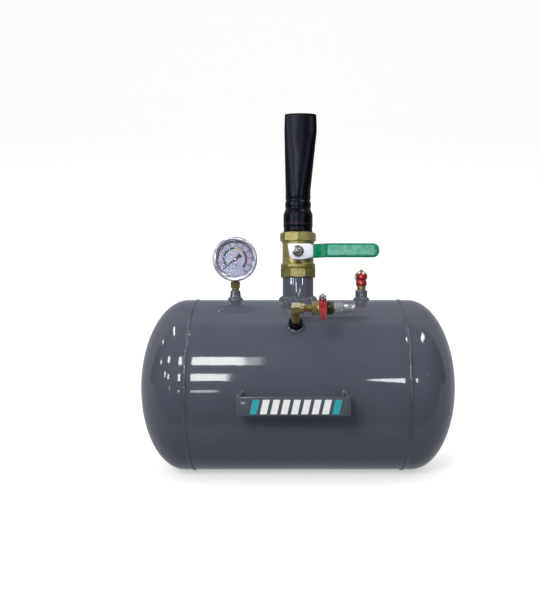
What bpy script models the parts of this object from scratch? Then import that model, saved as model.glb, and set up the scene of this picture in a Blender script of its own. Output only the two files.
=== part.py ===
"""Bead seater blaster tank.

A horizontal steel air tank with a ball valve and flattened discharge barrel on top,
a pressure gauge, a safety valve, a valved air inlet and a flat-bar carry handle.

Metres, +Z up. The origin is the centre of the bounding box's bottom face.
+X runs along the tank, -Y is the side that carries the handle.
"""

import math

import bmesh
import bpy
from mathutils import Matrix, Vector

MM = 0.001
GAP = 0.3 * MM  # clearance between touching pieces

# ---------------------------------------------------------------- driving dimensions

TANK_RADIUS = 130 * MM
WALL = 2.5 * MM
SEAM_X = 155.7 * MM  # centre of each girth seam
STRAIGHT_X = 170 * MM  # where the head's dome starts
DOME_DEPTH = 68 * MM
SEAM_PROUD = 1.0 * MM
HANDLE_REACH = 46 * MM  # from the shell to the handle's front face

TANK_SIDES = 48
ROUND = 24  # divides into hexagons and octagons
SMALL = 16

# The tank lies on a flat of its two seams. Its depth runs from the handle's face to a seam.
TANK_Z = (TANK_RADIUS + GAP + SEAM_PROUD) * math.cos(math.pi / TANK_SIDES)
TANK_Y = (TANK_RADIUS + HANDLE_REACH - TANK_Z) / 2

GAUGE_X = -97.5 * MM
RELIEF_X = 98.6 * MM
INLET_X = -3.2 * MM
INLET_ANGLE = math.radians(45)  # from straight up, towards the front
ARM_HEIGHT = 38 * MM  # of the inlet arm's axis above the shell
INLET_VALVE_X = 33.5 * MM

VALVE_HEIGHT = 73.7 * MM  # of the main ball's centre above the shell
BALL_RADIUS = 19 * MM
PORT_RADIUS = 13.5 * MM
BODY_RADIUS = 25.1 * MM
OCTAGON_APOTHEM = 25.75 * MM
CAP_BOTTOM = 91 * MM
CAP_TOP = 106.5 * MM

BARREL_RADIUS = 19.5 * MM
BARREL_WALL = 2.2 * MM
BARREL_TOP = 288.5 * MM
CRIMP_LOW = 170 * MM  # the tube flattens evenly from here
CRIMP_HIGH = 264 * MM  # to here
MOUTH_WIDTH = 50 * MM
MOUTH_THICKNESS = 18 * MM
MOUTH_SHIFT = 4 * MM  # sideways

GAUGE_HEIGHT = 63.2 * MM
GAUGE_RADIUS = 34 * MM
POINTER_REST = math.radians(220)
PINION_RADIUS = 1.3 * MM
SECTOR_RADIUS = 10.4 * MM
SECTOR_PIVOT = 12 * MM  # below the pointer's shaft

INLET_BALL_RADIUS = 6 * MM
INLET_BORE = 3.2 * MM

RING_RADIUS = 9.5 * MM
RING_WIRE = 0.65 * MM
RING_TILT = math.radians(31)  # from straight down, behind the cap
EYE_HEIGHT = 44.7 * MM

HANDLE_X = -5.8 * MM
HANDLE_WIDTH = 151 * MM
HANDLE_TALL = 24.8 * MM
HANDLE_THICK = 4.5 * MM
HANDLE_LOW = -7.9 * MM  # of its middle below the tank's axis

# ---------------------------------------------------------------- materials

COLOURS = {
    "tank_paint": ((0.105, 0.12, 0.145), 0.25, 0.0),
    "brass": ((0.55, 0.42, 0.16), 0.35, 1.0),
    "dark_brass": ((0.2, 0.16, 0.1), 0.45, 1.0),
    "chrome": ((0.8, 0.8, 0.82), 0.12, 1.0),
    "zinc": ((0.75, 0.77, 0.78), 0.3, 1.0),
    "green_vinyl": ((0.01, 0.32, 0.14), 0.35, 0.0),
    "black_paint": ((0.012, 0.012, 0.018), 0.3, 0.0),
    "steel": ((0.45, 0.45, 0.46), 0.4, 1.0),
    "ptfe": ((0.85, 0.85, 0.82), 0.5, 0.0),
    "dial_white": ((0.85, 0.87, 0.88), 0.5, 0.0),
    "pointer_black": ((0.02, 0.02, 0.02), 0.4, 0.0),
    "lens": ((0.9, 0.95, 1.0), 0.05, 0.0),
    "red_paint": ((0.5, 0.02, 0.025), 0.3, 0.3),
    "rubber": ((0.03, 0.03, 0.03), 0.7, 0.0),
}


def material(slot):
    made = bpy.data.materials.get(slot)
    if made:
        return made
    colour, roughness, metallic = COLOURS[slot]
    made = bpy.data.materials.new(slot)
    made.use_nodes = True
    shader = made.node_tree.nodes["Principled BSDF"]
    shader.inputs["Base Color"].default_value = (*colour, 1)
    shader.inputs["Roughness"].default_value = roughness
    shader.inputs["Metallic"].default_value = metallic
    return made


# ---------------------------------------------------------------- places


def tank_frame(x, angle=0.0, height=0.0):
    """On the shell: z points away from the tank's axis, x along it, y up the back."""
    spot = Matrix.Translation((x, TANK_Y, TANK_Z)) @ Matrix.Rotation(angle, 4, "X")
    return spot @ Matrix.Translation((0, 0, TANK_RADIUS + height))


FACING_FRONT = Matrix.Rotation(math.pi / 2, 4, "X")  # local z to -Y, local y to +Z
ALONG_X = Matrix.Rotation(math.pi / 2, 4, "Y")  # local z to +X, local x to -Z
MAIN_VALVE = tank_frame(0, 0, VALVE_HEIGHT) @ FACING_FRONT
GAUGE_FACE = tank_frame(GAUGE_X, 0, GAUGE_HEIGHT) @ FACING_FRONT
INLET_STEM = tank_frame(INLET_VALVE_X, INLET_ANGLE, ARM_HEIGHT)
INLET_ARM = INLET_STEM @ ALONG_X


def shell_height(y):
    """Of the shell's surface at y in a tank frame; 0 where the frame stands."""
    return math.sqrt(TANK_RADIUS**2 - y**2) - TANK_RADIUS


# ---------------------------------------------------------------- making meshes


def finish(name, bm, slot, place):
    """An object from a closed bmesh, its faces pointing out."""
    bmesh.ops.recalc_face_normals(bm, faces=bm.faces)
    mesh = bpy.data.meshes.new(name)
    bm.to_mesh(mesh)
    bm.free()
    mesh.shade_smooth()
    mesh.set_sharp_from_angle(angle=math.radians(35))
    mesh.materials.append(material(slot))
    made = bpy.data.objects.new(name, mesh)
    made.matrix_world = place
    bpy.context.collection.objects.link(made)
    return made


def bridge(bm, rings, closed):
    """Faces between each ring of vertices and the next. A ring of one vertex is a pole."""
    pairs = list(zip(rings, rings[1:]))
    if closed:
        pairs.append((rings[-1], rings[0]))
    for low, high in pairs:
        count = max(len(low), len(high))
        for i in range(count if count > 1 else 0):
            corners = [low[i % len(low)], low[(i + 1) % len(low)]]
            corners += [high[(i + 1) % len(high)], high[i % len(high)]]
            bm.faces.new(dict.fromkeys(corners))


def polygon_radius(apothem, sides, angle):
    """Of a polygon with a flat's middle at angle 0."""
    step = 2 * math.pi / sides
    off = (angle + step / 2) % step - step / 2
    return apothem / math.cos(off)


def turned(name, slot, place, profile, count=ROUND, phase=0.0, first_corner=None):
    """A solid turned about z from a closed profile of (radius, z[, sides]) points.

    With sides, the radius is the apothem of a polygon; first_corner is the angle of one
    of its corners. A profile with points on the axis is closed along it.
    """
    bm = bmesh.new()
    rings = []
    for point in profile:
        radius, z = point[:2]
        sides = point[2] if len(point) > 2 else 0
        if radius == 0:
            rings.append([bm.verts.new((0, 0, z))])
            continue
        ring = []
        for i in range(count):
            angle = phase + 2 * math.pi * i / count
            reach = radius
            if sides:
                turn = angle - first_corner - math.pi / sides
                reach = polygon_radius(radius, sides, turn)
            spot = (reach * math.cos(angle), reach * math.sin(angle), z)
            ring.append(bm.verts.new(spot))
        rings.append(ring)
    bridge(bm, rings, closed=profile[0][0] > 0)
    return finish(name, bm, slot, place)


def lofted(name, slot, place, sections, hollow=None):
    """A solid through sections, lists of points. With hollow, a tube whose bore is open
    at both ends where it has as many sections, or at the first end where it has a cap."""
    bm = bmesh.new()
    rings = [[bm.verts.new(point) for point in section] for section in sections]
    if hollow is None:
        bridge(bm, rings, closed=False)
        bm.faces.new(rings[0])
        bm.faces.new(rings[-1])
        return finish(name, bm, slot, place)
    inner = [[bm.verts.new(point) for point in section] for section in hollow["sections"]]
    bridge(bm, rings, closed=False)
    bridge(bm, inner, closed=False)
    bridge(bm, [rings[0], inner[0]], closed=False)
    if hollow["through"]:
        bridge(bm, [rings[-1], inner[-1]], closed=False)
    else:
        bm.faces.new(rings[-1])
        bm.faces.new(inner[-1])
    return finish(name, bm, slot, place)


def box(name, slot, place, low, high):
    def corner(z):
        return [(low[0], low[1], z), (high[0], low[1], z), (high[0], high[1], z), (low[0], high[1], z)]

    return lofted(name, slot, place, [corner(low[2]), corner(high[2])])


def combine(target, operation, tool):
    """Boolean with a tool object, which stays as a hidden guide."""
    tool.name = f"{target.name}_{operation.lower()}_tool"
    tool.hide_render = True
    tool.display_type = "WIRE"
    modifier = target.modifiers.new(tool.name, "BOOLEAN")
    modifier.operation = operation
    modifier.object = tool
    modifier.solver = "EXACT"


def circle(radius, count, phase=0.0):
    steps = [phase + 2 * math.pi * i / count for i in range(count)]
    return [(radius * math.cos(a), radius * math.sin(a)) for a in steps]


def rectangle(half_x, half_y, per_side):
    """Points around a rectangle, evenly along each side."""
    corners = [(-half_x, -half_y), (half_x, -half_y), (half_x, half_y), (-half_x, half_y)]
    points = []
    for (x0, y0), (x1, y1) in zip(corners, corners[1:] + corners[:1]):
        for i in range(per_side):
            share = i / per_side
            points.append((x0 + (x1 - x0) * share, y0 + (y1 - y0) * share))
    return points


def fillet_weld(name, place, inside, outside, tall):
    """A weld bead on the shell around an upright piece: inside and outside are loops."""
    middle = [((x0 + x1) / 2, (y0 + y1) / 2) for (x0, y0), (x1, y1) in zip(inside, outside)]

    def ring(loop, rise):
        return [(x, y, shell_height(y) + GAP + rise) for x, y in loop]

    sections = [ring(inside, 0), ring(outside, 0), ring(middle, tall * 0.62), ring(inside, tall)]
    bm = bmesh.new()
    rings = [[bm.verts.new(point) for point in section] for section in sections]
    bridge(bm, rings, closed=True)
    return finish(name, bm, "tank_paint", place)


def saddle_tube(name, slot, place, radius, bore, top, count):
    """An upright tube whose foot follows the shell."""
    feet = [circle(radius, count), circle(bore, count)]
    low = [[(x, y, shell_height(y) + GAP) for x, y in loop] for loop in feet]
    high = [[(x, y, top) for x, y in loop] for loop in feet]
    hollow = {"sections": [low[1], high[1]], "through": True}
    return lofted(name, slot, place, [low[0], high[0]], hollow)


# ---------------------------------------------------------------- tank


def tank():
    spin = Matrix.Translation((0, TANK_Y, TANK_Z)) @ ALONG_X
    phase = math.pi / TANK_SIDES
    inner = TANK_RADIUS - WALL
    end = SEAM_X - GAP / 2
    profile = [(TANK_RADIUS, -end), (TANK_RADIUS, end), (inner, end), (inner, -end)]
    shell = turned("tank_shell", "tank_paint", spin, profile, TANK_SIDES, phase)
    ports = [(0, 0, 19), (GAUGE_X, 0, 4), (RELIEF_X, 0, 4), (INLET_X, INLET_ANGLE, 4)]
    for x, angle, bore in ports:
        drill = [(0, -20 * MM), (bore * MM, -20 * MM), (bore * MM, 10 * MM), (0, 10 * MM)]
        tool = turned("drill", "steel", tank_frame(x, angle), drill, SMALL)
        combine(shell, "DIFFERENCE", tool)

    steps = [math.radians(a) for a in (18, 36, 54, 72)]
    for side, turn in (("left", math.pi), ("right", 0)):
        place = spin @ Matrix.Rotation(turn, 4, "X")
        out = [(TANK_RADIUS * math.cos(a), STRAIGHT_X + DOME_DEPTH * math.sin(a)) for a in steps]
        depth = DOME_DEPTH - WALL
        back = [(inner * math.cos(a), STRAIGHT_X + depth * math.sin(a)) for a in steps[1::2]]
        profile = [(0, STRAIGHT_X + DOME_DEPTH), *out[::-1], (TANK_RADIUS, STRAIGHT_X)]
        profile += [(TANK_RADIUS, SEAM_X + GAP / 2), (inner, SEAM_X + GAP / 2), (inner, STRAIGHT_X)]
        profile += [*back, (0, STRAIGHT_X + depth)]
        turned(f"head_{side}", "tank_paint", place, profile, TANK_SIDES, phase)
        base = TANK_RADIUS + GAP
        crown = base + SEAM_PROUD
        bead = [(base, -4.5), (base, 4.5), (crown, 2.2), (crown, -2.2)]
        profile = [(radius, SEAM_X + x * MM) for radius, x in bead]
        turned(f"seam_weld_{side}", "tank_paint", place, profile, TANK_SIDES, phase)


def bung(name, x, angle, radius, bore, top):
    place = tank_frame(x, angle)
    saddle_tube(name, "tank_paint", place, radius, bore, top, SMALL)
    inside = circle(radius + GAP, SMALL)
    fillet_weld(f"{name}_weld", place, inside, circle(radius + 3.5 * MM, SMALL), 3 * MM)


def ports():
    bung("gauge_bung", GAUGE_X, 0, 8.8 * MM, 5 * MM, 14.7 * MM)
    bung("relief_bung", RELIEF_X, 0, 9.5 * MM, 5 * MM, 15.2 * MM)
    bung("inlet_bung", INLET_X, INLET_ANGLE, 9.8 * MM, 5.4 * MM, 11 * MM)
    place = tank_frame(0)
    saddle_tube("riser_coupling", "tank_paint", place, 24 * MM, 21.4 * MM, 35 * MM, ROUND)
    inside = circle(24 * MM + GAP, ROUND)
    fillet_weld("riser_weld", place, inside, circle(28.8 * MM, ROUND), 5 * MM)


def handle():
    """A flat bar bent to a U, its legs drawn in a little towards the shell."""
    place = tank_frame(HANDLE_X, math.pi / 2)
    half = HANDLE_WIDTH / 2
    toe = half - 3 * MM  # the leg's outer side at the shell
    bend = 8 * MM

    def side(width, foot, front, radius):
        """One edge of the bar, from the right foot round to the left foot."""
        turns = [math.radians(a) for a in (0, 30, 60, 90)]
        arc = [
            (width - radius + radius * math.cos(a), front - radius + radius * math.sin(a))
            for a in turns
        ]
        right = [(foot, GAP), *arc]
        return right + [(-x, z) for x, z in right[::-1]]

    outer = side(half, toe, HANDLE_REACH, bend)
    thick = HANDLE_THICK
    inner = side(half - thick, toe - thick, HANDLE_REACH - thick, bend - thick)
    outline = outer + inner[::-1]
    low = HANDLE_LOW - HANDLE_TALL / 2
    sections = [[(x, y, z) for x, z in outline] for y in (low, low + HANDLE_TALL)]
    lofted("carry_handle", "tank_paint", place, sections)
    for name, sign in (("left", -1), ("right", 1)):
        middle = sign * (toe - HANDLE_THICK / 2 + 0.15 * MM)
        half_x = HANDLE_THICK / 2 + 0.5 * MM
        half_y = HANDLE_TALL / 2 + GAP
        inside = rectangle(half_x, half_y, 3)
        outside = rectangle(half_x + 3.5 * MM, half_y + 3.5 * MM, 3)
        loops = [[(x + middle, y + HANDLE_LOW) for x, y in loop] for loop in (inside, outside)]
        fillet_weld(f"handle_weld_{name}", place, *loops, 3.5 * MM)


# ---------------------------------------------------------------- main valve


def seat(name, place, flip, ball, bore, reach, outer, thick):
    """A soft ring whose cone clears the ball."""
    clear = ball + 0.6 * MM
    lip = math.sqrt(clear**2 - bore**2)
    rim = math.sqrt(clear**2 - reach**2)
    profile = [(bore, lip), (reach, rim), (outer, rim), (outer, thick), (bore, thick)]
    turn = Matrix.Rotation(math.pi if flip else 0, 4, "X")
    turned(name, "ptfe", place @ turn, profile)


def ball(name, place, radius, bore, slot_half, slot_long, slot_floor, arcs):
    """A ball whose bore runs along local x, with a slot for the stem on local z."""
    edge = math.acos(bore / radius)
    angles = [edge - 2 * edge * i / arcs for i in range(arcs + 1)]
    profile = [(radius * math.cos(a), radius * math.sin(a)) for a in angles]
    made = turned(name, "chrome", place @ ALONG_X, profile)
    low = (-slot_long, -slot_half, slot_floor)
    high = (slot_long, slot_half, radius * 1.2)
    combine(made, "DIFFERENCE", box("slot", "chrome", place, low, high))


def stem(name, slot, place, profile, tang_half, tang_long, tang_low, tang_high):
    made = turned(name, slot, place, profile, SMALL)
    low = (-tang_long, -tang_half, tang_low)
    high = (tang_long, tang_half, tang_high)
    combine(made, "UNION", box("tang", slot, place, low, high))


def nut(name, slot, place, apothem, bore, low, high):
    profile = [(bore, low), (apothem, low, 6), (apothem, high, 6), (bore, high)]
    turned(name, slot, place, profile, 12, 0, math.radians(30))


def main_valve():
    up = tank_frame(0)
    half_step = math.pi / ROUND
    octagon = OCTAGON_APOTHEM
    profile = [
        (PORT_RADIUS, 17 * MM),
        (21 * MM, 17 * MM),
        (21 * MM, 35.3 * MM),
        (octagon, 35.3 * MM, 8),
        (octagon, 47.8 * MM, 8),
        (24.2 * MM, 48.3 * MM),
        (24.2 * MM, 56.5 * MM),
        (BODY_RADIUS, 57.5 * MM),
        (BODY_RADIUS, CAP_BOTTOM - GAP),
        (21.6 * MM, CAP_BOTTOM - GAP),
        (21.6 * MM, 83 * MM),
        (20.6 * MM, 83 * MM),
        (20.6 * MM, 58.9 * MM),
        (PORT_RADIUS, 58.9 * MM),
    ]
    corner = math.radians(-90 + 22.5)
    body = turned("valve_body", "brass", up, profile, ROUND, half_step, corner)
    boss = [(0, 22 * MM), (10.5 * MM, 22 * MM), (10.5 * MM, 33 * MM), (0, 33 * MM)]
    combine(body, "UNION", turned("boss", "brass", MAIN_VALVE, boss, SMALL))
    bore = [(0, 14), (7.4, 14), (7.4, 22.4), (5.3, 22.4), (5.3, 26), (8, 26), (8, 35), (0, 35)]
    profile = [(radius * MM, z * MM) for radius, z in bore]
    combine(body, "DIFFERENCE", turned("stem_hole", "brass", MAIN_VALVE, profile, SMALL))

    profile = [
        (PORT_RADIUS, 88.5 * MM),
        (18.9 * MM, 88.5 * MM),
        (18.9 * MM, 83.4 * MM),
        (21.2 * MM, 83.4 * MM),
        (21.2 * MM, CAP_BOTTOM),
        (octagon, CAP_BOTTOM, 8),
        (octagon, CAP_TOP, 8),
        (21.4 * MM, CAP_TOP),
        (21.4 * MM, 94.5 * MM),
        (PORT_RADIUS, 94.5 * MM),
    ]
    turned("valve_end_cap", "brass", up, profile, ROUND, 0, math.radians(-90))

    centre = tank_frame(0, 0, VALVE_HEIGHT)
    for name, flip in (("seat_lower", True), ("seat_upper", False)):
        seat(name, centre, flip, BALL_RADIUS, 13.8 * MM, 17.2 * MM, 18.6 * MM, 14.5 * MM)
    ball("valve_ball", MAIN_VALVE, BALL_RADIUS, 13.2 * MM, 2.9 * MM, 6 * MM, 15.2 * MM, 6)
    shaft = [(0, 19.5), (6.9, 19.5), (6.9, 22), (5, 22), (5, 37), (4.2, 37), (4.2, 47), (0, 47)]
    profile = [(radius * MM, z * MM) for radius, z in shaft]
    stem("valve_stem", "brass", MAIN_VALVE, profile, 2.5 * MM, 5.5 * MM, 15.6 * MM, 20.5 * MM)
    packing = [(5.3, 26.3), (7.7, 26.3), (7.7, 30), (5.3, 30)]
    profile = [(radius * MM, z * MM) for radius, z in packing]
    turned("stem_packing", "ptfe", MAIN_VALVE, profile, SMALL)
    apothem = 9.5 * MM
    profile = [
        (5.4 * MM, 30.3 * MM),
        (7.6 * MM, 30.3 * MM),
        (7.6 * MM, 33.3 * MM),
        (apothem, 33.3 * MM, 6),
        (apothem, 36.8 * MM, 6),
        (5.4 * MM, 36.8 * MM),
    ]
    turned("gland_nut", "brass", MAIN_VALVE, profile, 12, 0, math.radians(30))


def lever():
    """A stamped strap that steps forward, in a dipped grip. Local x runs to its tip."""
    base = 37.3 * MM
    step = 12 * MM
    thick = 2.5 * MM

    def section(x, half, low, high):
        return [(x, -half, low), (x, half, low), (x, half, high), (x, -half, high)]

    root = [(-15.6, 8), (-12, 11.1), (18.5, 11.1), (21.8, 8.4), (27, 8.4)]
    sections = [section(x * MM, half * MM, base, base + thick) for x, half in root]
    for x in (42 * MM, 117.5 * MM):
        sections.append(section(x, 8.4 * MM, base + step, base + step + thick))
    plate = lofted("lever_plate", "zinc", MAIN_VALVE, sections)
    hole = [(0, 35 * MM), (4.5 * MM, 35 * MM), (4.5 * MM, 42 * MM), (0, 42 * MM)]
    combine(plate, "DIFFERENCE", turned("hole", "zinc", MAIN_VALVE, hole, SMALL))
    nut("lever_nut", "zinc", MAIN_VALVE, 7.5 * MM, 4.5 * MM, 40.1 * MM, 45.6 * MM)

    def shell(x, half, rise, skin, corner):
        """A grip section: skin is its thickness over the strap, corner its chamfer."""
        low = base + rise - skin
        high = base + rise + thick + skin
        outline = [(-half, low + corner), (-half + corner, low), (half - corner, low)]
        outline += [(half, low + corner), (half, high - corner), (half - corner, high)]
        outline += [(-half + corner, high), (-half, high - corner)]
        return [(x, y, z) for y, z in outline]

    mouth = 22.6 * MM
    stations = [(mouth, 0), (27 * MM, 0), (42 * MM, step), (112 * MM, step)]
    outer = [shell(x, 10.6 * MM, rise, 1.8 * MM, 1.2 * MM) for x, rise in stations]
    outer.append(shell(120.5 * MM, 7 * MM, step, 1.5 * MM, 1.2 * MM))
    stations[-1] = (118 * MM, step)
    bore = [shell(x, 8.4 * MM + GAP, rise, GAP, 0.1 * MM) for x, rise in stations]
    hollow = {"sections": bore, "through": False}
    lofted("lever_grip", "green_vinyl", MAIN_VALVE, outer, hollow)


# ---------------------------------------------------------------- barrel


def barrel_section(z, radius, share, inset):
    """The tube's outline at z: share 0 is round, share 1 is the flat mouth."""
    points = []
    long = MOUTH_WIDTH / 2 - inset
    short = MOUTH_THICKNESS / 2 - inset
    for x, y in circle(1, ROUND):
        power = 2 / (2 + 1.6 * share)
        flat_x = long * math.copysign(abs(x) ** power, x) + MOUTH_SHIFT
        flat_y = short * math.copysign(abs(y) ** power, y)
        round_x = (radius - inset) * x
        round_y = (radius - inset) * y
        points.append((round_x + (flat_x - round_x) * share, round_y + (flat_y - round_y) * share, z))
    return points


def barrel():
    up = tank_frame(0)
    profile = [(17.6, 95), (21.1, 95), (21.1, 131), (17.6, 131)]
    turned("barrel_nipple", "steel", up, [(radius * MM, z * MM) for radius, z in profile])
    profile = [(21.4, 106.8), (23.2, 106.8), (23.2, 134), (20, 139), (20, 165), (18.7, 165)]
    profile += [(18.7, 131.4), (21.4, 131.4)]
    turned("barrel_sleeve", "black_paint", up, [(radius * MM, z * MM) for radius, z in profile])

    swage = BARREL_RADIUS - 1.1 * MM
    neck = 165.4 * MM
    stations = [(133 * MM, swage, 0), (neck, swage, 0), (neck + 1 * MM, BARREL_RADIUS, 0)]
    stations += [(CRIMP_LOW, BARREL_RADIUS, 0)]
    for share in (0.25, 0.5, 0.75, 1):
        height = CRIMP_LOW + (CRIMP_HIGH - CRIMP_LOW) * share
        stations.append((height, BARREL_RADIUS, share))
    stations.append((BARREL_TOP, BARREL_RADIUS, 1))
    outer = [barrel_section(*station, 0) for station in stations]
    inner = [barrel_section(*station, BARREL_WALL) for station in stations]
    hollow = {"sections": inner, "through": True}
    lofted("barrel_tube", "black_paint", up, outer, hollow)


# ---------------------------------------------------------------- gauge


def gauge():
    up = tank_frame(GAUGE_X)
    corner = math.radians(30)
    socket = [
        (0, 40),
        (1.6, 40),
        (1.6, 5),
        (4.7, 5),
        (4.7, 15),
        (5.6, 15),
        (5.6, 18.7),
        (7, 18.7, 6),
        (7, 28.8, 6),
        (5, 28.8),
        (5, 44),
        (0, 44),
    ]
    profile = [(point[0] * MM, point[1] * MM, *point[2:]) for point in socket]
    turned("gauge_socket", "brass", up, profile, 12, 0, corner)

    face = GAUGE_FACE
    wall = 32 * MM
    rim = GAUGE_RADIUS - 1 * MM
    cup = [(0, -12 * MM), (rim, -12 * MM), (rim, 8 * MM)]
    cup += [(wall, 8 * MM), (wall, -11 * MM), (0, -11 * MM)]
    case = turned("gauge_case", "chrome", face, cup, ROUND)
    hole = [(0, 20 * MM), (5.6 * MM, 20 * MM), (5.6 * MM, 42 * MM), (0, 42 * MM)]
    combine(case, "DIFFERENCE", turned("hole", "chrome", up, hole, 12))

    lip = GAUGE_RADIUS - 5.2 * MM
    inner = rim + GAP
    bezel = [(inner, 5.8 * MM), (GAUGE_RADIUS, 5.8 * MM), (GAUGE_RADIUS, 11 * MM)]
    bezel += [(lip + 2 * MM, 15 * MM), (lip, 14 * MM), (lip, 12.8 * MM), (inner, 12.8 * MM)]
    turned("gauge_bezel", "chrome", face, bezel, ROUND)
    disc = [(0, 10.4 * MM), (32.4 * MM, 10.4 * MM), (32.4 * MM, 12.5 * MM), (0, 12.5 * MM)]
    turned("gauge_lens", "lens", face, disc, ROUND)
    low, high, eye = 6.2 * MM, 6.8 * MM, 1.3 * MM
    plate = [(eye, low), (31.4 * MM, low), (31.4 * MM, high), (eye, high)]
    turned("gauge_dial", "dial_white", face, plate, ROUND)
    movement(face)


def movement(face):
    """Behind the dial: bourdon tube, plate with its pivot pin, sector gear and pointer."""
    turns = [math.radians(-68 + 268 * i / 14) for i in range(15)]
    middle = 24 * MM

    def oval(angle):
        across = Vector((math.cos(angle), math.sin(angle), 0))
        rim = [Vector((0, 0, 3 * MM)), across * 1.1 * MM, Vector((0, 0, -3 * MM)), -across * 1.1 * MM]
        return [across * middle + point + Vector((0, 0, -4 * MM)) for point in rim]

    lofted("bourdon_tube", "brass", face, [oval(a) for a in turns])

    plate = box("movement_plate", "brass", face, (-8 * MM, -16 * MM, -8 * MM), (8 * MM, 4 * MM, -7 * MM))
    pivot = face @ Matrix.Translation((0, -SECTOR_PIVOT, 0))
    pin = [(0, -7.5 * MM), (0.8 * MM, -7.5 * MM), (0.8 * MM, -2.4 * MM), (0, -2.4 * MM)]
    combine(plate, "UNION", turned("pin", "brass", pivot, pin, 8))
    hole = [(0, -9 * MM), (1.1 * MM, -9 * MM), (1.1 * MM, -6 * MM), (0, -6 * MM)]
    combine(plate, "DIFFERENCE", turned("hole", "brass", face, hole, 8))

    first, last, steps = math.radians(50), math.radians(97), 6
    arc = [first + (last - first) * i / steps for i in range(steps + 1)]
    outline = [(SECTOR_RADIUS * math.cos(a), SECTOR_RADIUS * math.sin(a)) for a in arc]
    heel = [math.radians(a) for a in (160, 220, 280, 340)]
    outline += [(2.4 * MM * math.cos(a), 2.4 * MM * math.sin(a)) for a in heel]
    sections = [[(x, y, z) for x, y in outline] for z in (-4.6 * MM, -3.4 * MM)]
    sector = lofted("sector_gear", "brass", pivot, sections)
    hole = [(0, -6 * MM), (1.1 * MM, -6 * MM), (1.1 * MM, -2 * MM), (0, -2 * MM)]
    combine(sector, "DIFFERENCE", turned("hole", "brass", pivot, hole, 8))

    pinion = PINION_RADIUS / MM
    shaft = [(0, -8.4), (0.8, -8.4), (0.8, -5), (pinion, -5), (pinion, -3), (0.8, -3)]
    shaft += [(0.8, 7.4), (2.6, 7.4), (2.6, 9.6), (0, 9.6)]
    profile = [(radius * MM, z * MM) for radius, z in shaft]
    turn = face @ Matrix.Rotation(POINTER_REST, 4, "Z")
    pointer = turned("gauge_pointer", "pointer_black", turn, profile, 12)
    blade = [(-8, -1.4), (-8, 1.4), (0, 0.9), (21, 0.25), (21, -0.25), (0, -0.9)]
    sections = [[(x * MM, y * MM, z * MM) for x, y in blade] for z in (8.1, 8.8)]
    combine(pointer, "UNION", lofted("blade", "pointer_black", turn, sections))


# ---------------------------------------------------------------- inlet


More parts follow.
